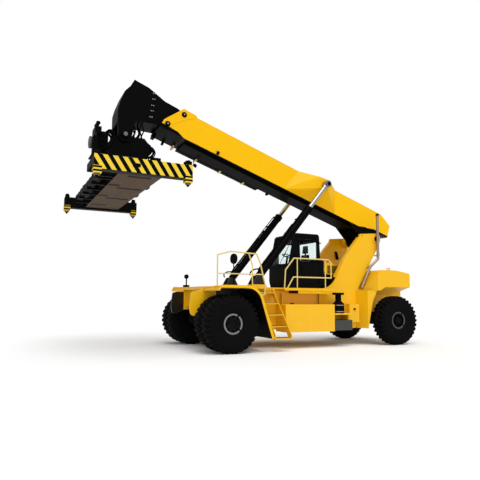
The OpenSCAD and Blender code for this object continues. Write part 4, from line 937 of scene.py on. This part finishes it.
keeper = plate(keeper_outline, 0.014, (0, cheek_y + 0.0002, 0), bevel=0.003)
add("tilt_pin_caps", mirrored([tilt_cap, keeper]), head_paint, "inner_boom")
cap_steel = metal("worn_pin_end", (0.16, 0.16, 0.165), 0.5, 0.6, 0.6)
end_profile = [(0.060, 0), (0.060, 0.012), (0.045, 0.016), (0.0, 0.017)]
pin_end = lathe(end_profile, 28, (tilt_x, 0.5175, tilt_z), sideways)
add("tilt_pin_ends", mirrored([pin_end]), cap_steel, "inner_boom")

crown_angles = np.radians(np.linspace(10, 170, 11))
crown = [(tilt_x + 0.17 * math.cos(a), tilt_z + 0.17 * math.sin(a)) for a in crown_angles]
shoulder = [
    *crown, (2.44, 6.19), (2.17, 6.19), (2.09, 6.09), (1.98, 6.01), (1.93, 5.90), (1.92, 5.81),
    (2.15, 5.53), (2.21, 5.50), (3.33, 5.50), (3.27, 5.86), (3.15, 6.07), (3.02, 6.14),
]
rear_plate = [(1.924, 5.81), (1.97, 5.82), (2.23, 5.533), (2.150, 5.532)]
shoulders = mirrored([plate(shoulder, 0.0835, (0, 0.262, 0), bevel=0.004)])
shoulders.append(plate(rear_plate, 0.530, (0, -0.265, 0)))
add("yoke_shoulders", shoulders, head_paint, "head")
valve_block = [brick((3.20, -0.158, 5.562), (3.425, 0.178, 6.29), 0.008)]
for z, size in ((5.72, 0.034), (5.86, 0.028), (6.00, 0.034), (6.15, 0.028)):
    fitting = [(size, 0), (size, 0.03), (size * 0.8, 0.04), (size * 0.5, 0.075), (0.0, 0.08)]
    valve_block += [lathe(fitting, 6, (x, 0.176, z), sideways) for x in (3.26, 3.36)]
add("head_valve_block", valve_block, head_paint, "head")
ring_bolts = bolt_circle((tilt_x, 0, 5.4995), 0.59, 40, (0, 0, 1), 0.014, 0.016, up=sideways)
add("slewing_ring_bolts", [ring_bolts], zinc, "head")

neck_hoses = [hose([
    (x, y, 6.78), (x - 0.02, y, 6.62), (x - 0.07, y * 1.1, 6.46), (x - 0.05 + kick, y, 6.32),
    (x + 0.02, y * 0.9, 6.18), (x + 0.06, y * 0.8, 6.05),
], 22, r, 8) for x, y, kick, r in (
    (2.20, -0.24, -0.04, 0.022), (2.25, 0.22, 0.03, 0.020), (2.31, -0.10, 0.05, 0.024),
    (2.36, 0.12, -0.03, 0.019), (2.42, -0.20, 0.02, 0.022), (2.46, 0.05, 0.04, 0.024),
    (2.52, 0.26, -0.02, 0.020),
)]
bundle = mesh_piece("neck_hoses", neck_hoses, dark_rubber)
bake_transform(bundle)
yoke_hoses = [hose([
    (2.02, y, 5.70), (1.95, y, 5.86), (1.92, y * 1.1, 5.98), (x - 0.10, y, top - 0.10), (x, y, top),
    (x + 0.10, y * 0.9, top - 0.04), (2.44, y * 0.8, 6.06), (2.46, y * 0.8, 5.98),
], 34, r, 8) for y, x, top, r in (
    (-0.20, 2.16, 6.20, 0.024), (-0.12, 2.26, 6.26, 0.019), (-0.03, 2.12, 6.16, 0.024),
    (0.06, 2.28, 6.28, 0.017), (0.13, 2.18, 6.22, 0.022), (0.21, 2.32, 6.23, 0.019),
)]
side_hoses = [hose([
    (2.04 + d, 0.344, 5.60), (1.90 + d, 0.36 + d, 5.66), (1.85 + d, 0.37 + d, 5.80),
    (1.94 + d, 0.36, 5.94), (2.12 + d, 0.344, 5.96),
], 22, 0.018, 8) for d in (0.0, 0.05, 0.09)]
add("yoke_hoses", [*yoke_hoses, *mirrored(side_hoses)], dark_rubber, "head", smooth=True)
valve_hoses = [hose([
    (3.30, y * 0.5, 6.26), (3.18, y * 0.8, 6.34), (3.06, y, 6.24), (3.10, y * 1.1, 5.98),
    (3.24, y * 1.25, 5.80), (3.40, y * 1.3, 5.70), (3.52, y * 1.2, 5.58),
], 30, r, 8) for y, r in (
    (-0.22, 0.022), (-0.12, 0.018), (0.02, 0.022), (0.12, 0.018), (0.24, 0.022), (0.33, 0.018),
)]
add("valve_hoses", valve_hoses, dark_rubber, "head", smooth=True)
head_lamps = []
for y, turned in ((-0.20, -0.5), (-0.07, 0.35), (0.07, -0.25), (0.20, 0.5)):
    head_lamps.append(tube([(3.50, y, 6.392), (3.50, y, 6.50)], 0.014, 8))
    lamp_body = [(0.02, -0.05), (0.045, -0.04), (0.062, 0.02), (0.058, 0.03)]
    head_lamps.append(lathe(lamp_body, 20, (3.50, y, 6.515), (0.75, turned, -0.45)))
add("head_work_lamps", head_lamps, plastic, "head", smooth=True)
cover_profile = [(0.176, 0.0), (0.182, 0.03), (0.172, 0.055), (0.12, 0.07), (0.0, 0.075)]
motor_cover = lathe(cover_profile, 40, (3.655, 0.02, 5.96), (1, 0, 0))
grey_cover = painted("grey_motor_cover", (0.085, 0.085, 0.09), 0.85, 0.5, 0.4, 0.2)
add("slewing_motor_cover", [motor_cover], grey_cover, "head")


# Spreader. The main beam is a black box with a rust-brown underside, slit across for the
# telescoping arms' wear pads; the slits are painted dark as painted shade. The near end beam is
# striped, and corner boxes carry the twistlocks.
beam_x = tilt_x


def stripes(name, near):
    """Black paint. On the near beam's outer and inner faces amber stripes lean with the height,
    and the corner boxes below the beam have level amber bands."""
    made, place, x, _, z = begin(name)
    broad, fine, peel = noise(place, 0.8), noise(place, 9.0, 6.0, 0.65), noise(place, 110.0, 2.0)
    corner = (x - beam_x).size() > 1.03
    mark = corner * ((z - 4.40).wrap(0.088) < 0.45) * z.between(4.405, 4.585)
    if near:
        flat = face_axes(place)[1].size() > 0.8
        slope = (x - z * 0.66).wrap(0.237) < 0.5
        mark = (slope * z.between(4.51, 4.87) * flat * (1 - (z < 4.585) * corner) + mark).clip()
    scuff = ((fine - 0.6) * 3).clip() * 0.5
    tone = mark.mix((0.0035, 0.0035, 0.0038), broad.mix((0.80, 0.56, 0.045), (0.88, 0.63, 0.06)))
    return close(made, place, {
        "Base Color": scuff.mix(tone, (0.10, 0.085, 0.07)), "Roughness": fine * 0.2 + 0.34,
        "Specular IOR Level": 0.02,
    }, peel * 0.3 + fine * 0.5, 0.0012, 0.4)


slit_places = (
    (1.0, 2.99, 3.30), (-0.6, 2.99, 3.30), (0.67, 2.32, 3.01), (-0.93, 2.32, 3.01), (2.18, 2.44, 3.04),
    (-2.2, 2.75, 3.27),
)


def spreader_finish(name):
    """Black sides, and a brown underside crossed by short slits, painted dark as painted shade:
    each is a span in X within 0.1 of its place along the beam."""
    made, place, x, y, z = begin(name)
    under = (face_axes(place)[2] < -0.8) * (z < 4.57) * ((x - beam_x).size() < 0.56)
    fine, cloud, peel = noise(place, 9.0, 6.0, 0.65), noise(place, 1.6, 4.0), noise(place, 110.0, 2.0)
    slits = sum(((y - at).size() < 0.10) * x.between(*span) for at, *span in slit_places).clip()
    joint = ((x - beam_x).size() < 0.006) + ((y - 0.1).wrap(0.79) < 0.012) * 0.5
    rust = cloud.mix((0.088, 0.058, 0.036), (0.125, 0.086, 0.058))
    rust = (fine - 0.35).clip().mix(rust, (0.06, 0.040, 0.026))
    # Painted shade: the slits are painted dark; the joints are dark seams.
    rust = (slits + joint * 0.5).clip().mix(rust, (0.018, 0.014, 0.012))
    black = cloud.mix(deep_black, (0.0045, 0.0045, 0.0048))
    return close(made, place, {
        "Base Color": under.mix(black, rust), "Roughness": fine * 0.2 + 0.38 + under * 0.1,
        "Specular IOR Level": 0.02,
    }, peel * 0.3 + fine * 0.5 - slits, 0.0015, 0.5)


wear(spreader_finish("spreader_main_paint"), "spreader_frame")
wear(stripes("striped_end_beam", True), "end_beam_left")
wear(stripes("banded_end_beam", False), "end_beam_right")
lock_steel = metal("twistlock_steel", (0.16, 0.15, 0.14), 0.42, 0.7)
shift, lock_y, lock_x = -0.17, 2.9265, 1.1295
eye_rim = [(0.036, 0), (0.036, 0.004), (0.024, 0.006), (0.024, 0)]
collar_profile = [(0.062, 0), (0.070, 0.01), (0.070, 0.05), (0.045, 0.06)]
drive_profile = [(0.075, 0), (0.078, 0.06), (0.06, 0.10), (0.058, 0.13), (0.03, 0.14)]
for side, sign in hands:
    body, lock_at = "beam_" + side, shift + sign * lock_y
    face = lock_at + sign * 0.103
    if side == "left":
        eyes = [brick((2.89, face, 4.645), (3.08, face + 0.012, 4.735), 0.004)]
    else:
        eyes = [lathe(eye_rim, 20, (beam_x + dx, face, 4.70), (0, sign, 0), hollow=True)
                for dx in (-0.75, -0.60, -0.45, 0.45, 0.60, 0.75)]
    add("beam_eyes_" + side, eyes, black_paint, body)
    collars, drives, bolts = [], [], []
    for x in (beam_x - lock_x, beam_x + lock_x):
        collars.append(lathe(collar_profile, 24, (x, lock_at, 4.36)))
        drives.append(lathe(drive_profile, 24, (x, lock_at, 4.86)))
        four = ((dx, dy) for dx in (-0.07, 0.07) for dy in (-0.055, 0.055))
        corners = [(x + dx, lock_at + sign * 0.03 + dy, 4.8605) for dx, dy in four]
        bolts.append(bolt_row(corners, (0, 0, 1), 0.012, 0.012))
    if side == "left":
        drives.append(brick((1.565, lock_at - 0.11, 4.8603), (1.735, lock_at + 0.09, 4.96), 0.012))
    add("twistlock_collars_" + side, collars, lock_steel, body)
    add("twistlock_drives_" + side, drives, black_paint, body)
    add("twistlock_bolts_" + side, bolts, zinc, body)

beam_face, trough_x0, trough_x1, trough_z = 3.3205, 3.605, 3.735, 4.6125
trough = [brick((trough_x0, -2.3, trough_z), (trough_x1, 1.7, 4.775), 0.010)]
for y in np.linspace(-2.2, 1.55, 6):
    trough.append(brick((beam_face, y, 4.562), (trough_x1, y + 0.05, trough_z), 0.006))
for y in np.linspace(-2.0, 1.4, 9):
    trough.append(brick((3.60, y, 4.60), (3.745, y + 0.03, 4.785), 0.004))
trough.append(brick((3.56, 1.72, 4.60), (3.76, 2.02, 4.86), 0.012))
trough.append(brick((beam_face, 1.84, 4.562), (3.74, 1.90, 4.60)))
add("spreader_cable_trough", trough, head_paint, "spreader")
trough_hoses = []
for k in range(7):
    x, y = 3.64 + 0.02 * (k % 3), -2.15 + 0.58 * k
    trough_hoses.append(hose([
        (x, y, 4.76), (x + 0.02, y + 0.10, 4.84 + 0.02 * (k % 2)), (x - 0.03, y + 0.28, 4.87),
        (x + 0.02, y + 0.46, 4.82), (x, y + 0.55, 4.765),
    ], 20, 0.017, 8))
add("spreader_trough_hoses", trough_hoses, dark_rubber, "spreader", smooth=True)
beam_lines = [hose([
    (3.325, -2.2, z), (3.345, -1.2, z - 0.02), (3.35, 0.0, z - 0.04), (3.345, 1.2, z - 0.02),
    (3.325, 2.1, z),
], 40, 0.014, 8) for z in (4.66, 4.72, 4.78)]
add("spreader_hoses", beam_lines, dark_rubber, "spreader", smooth=True)
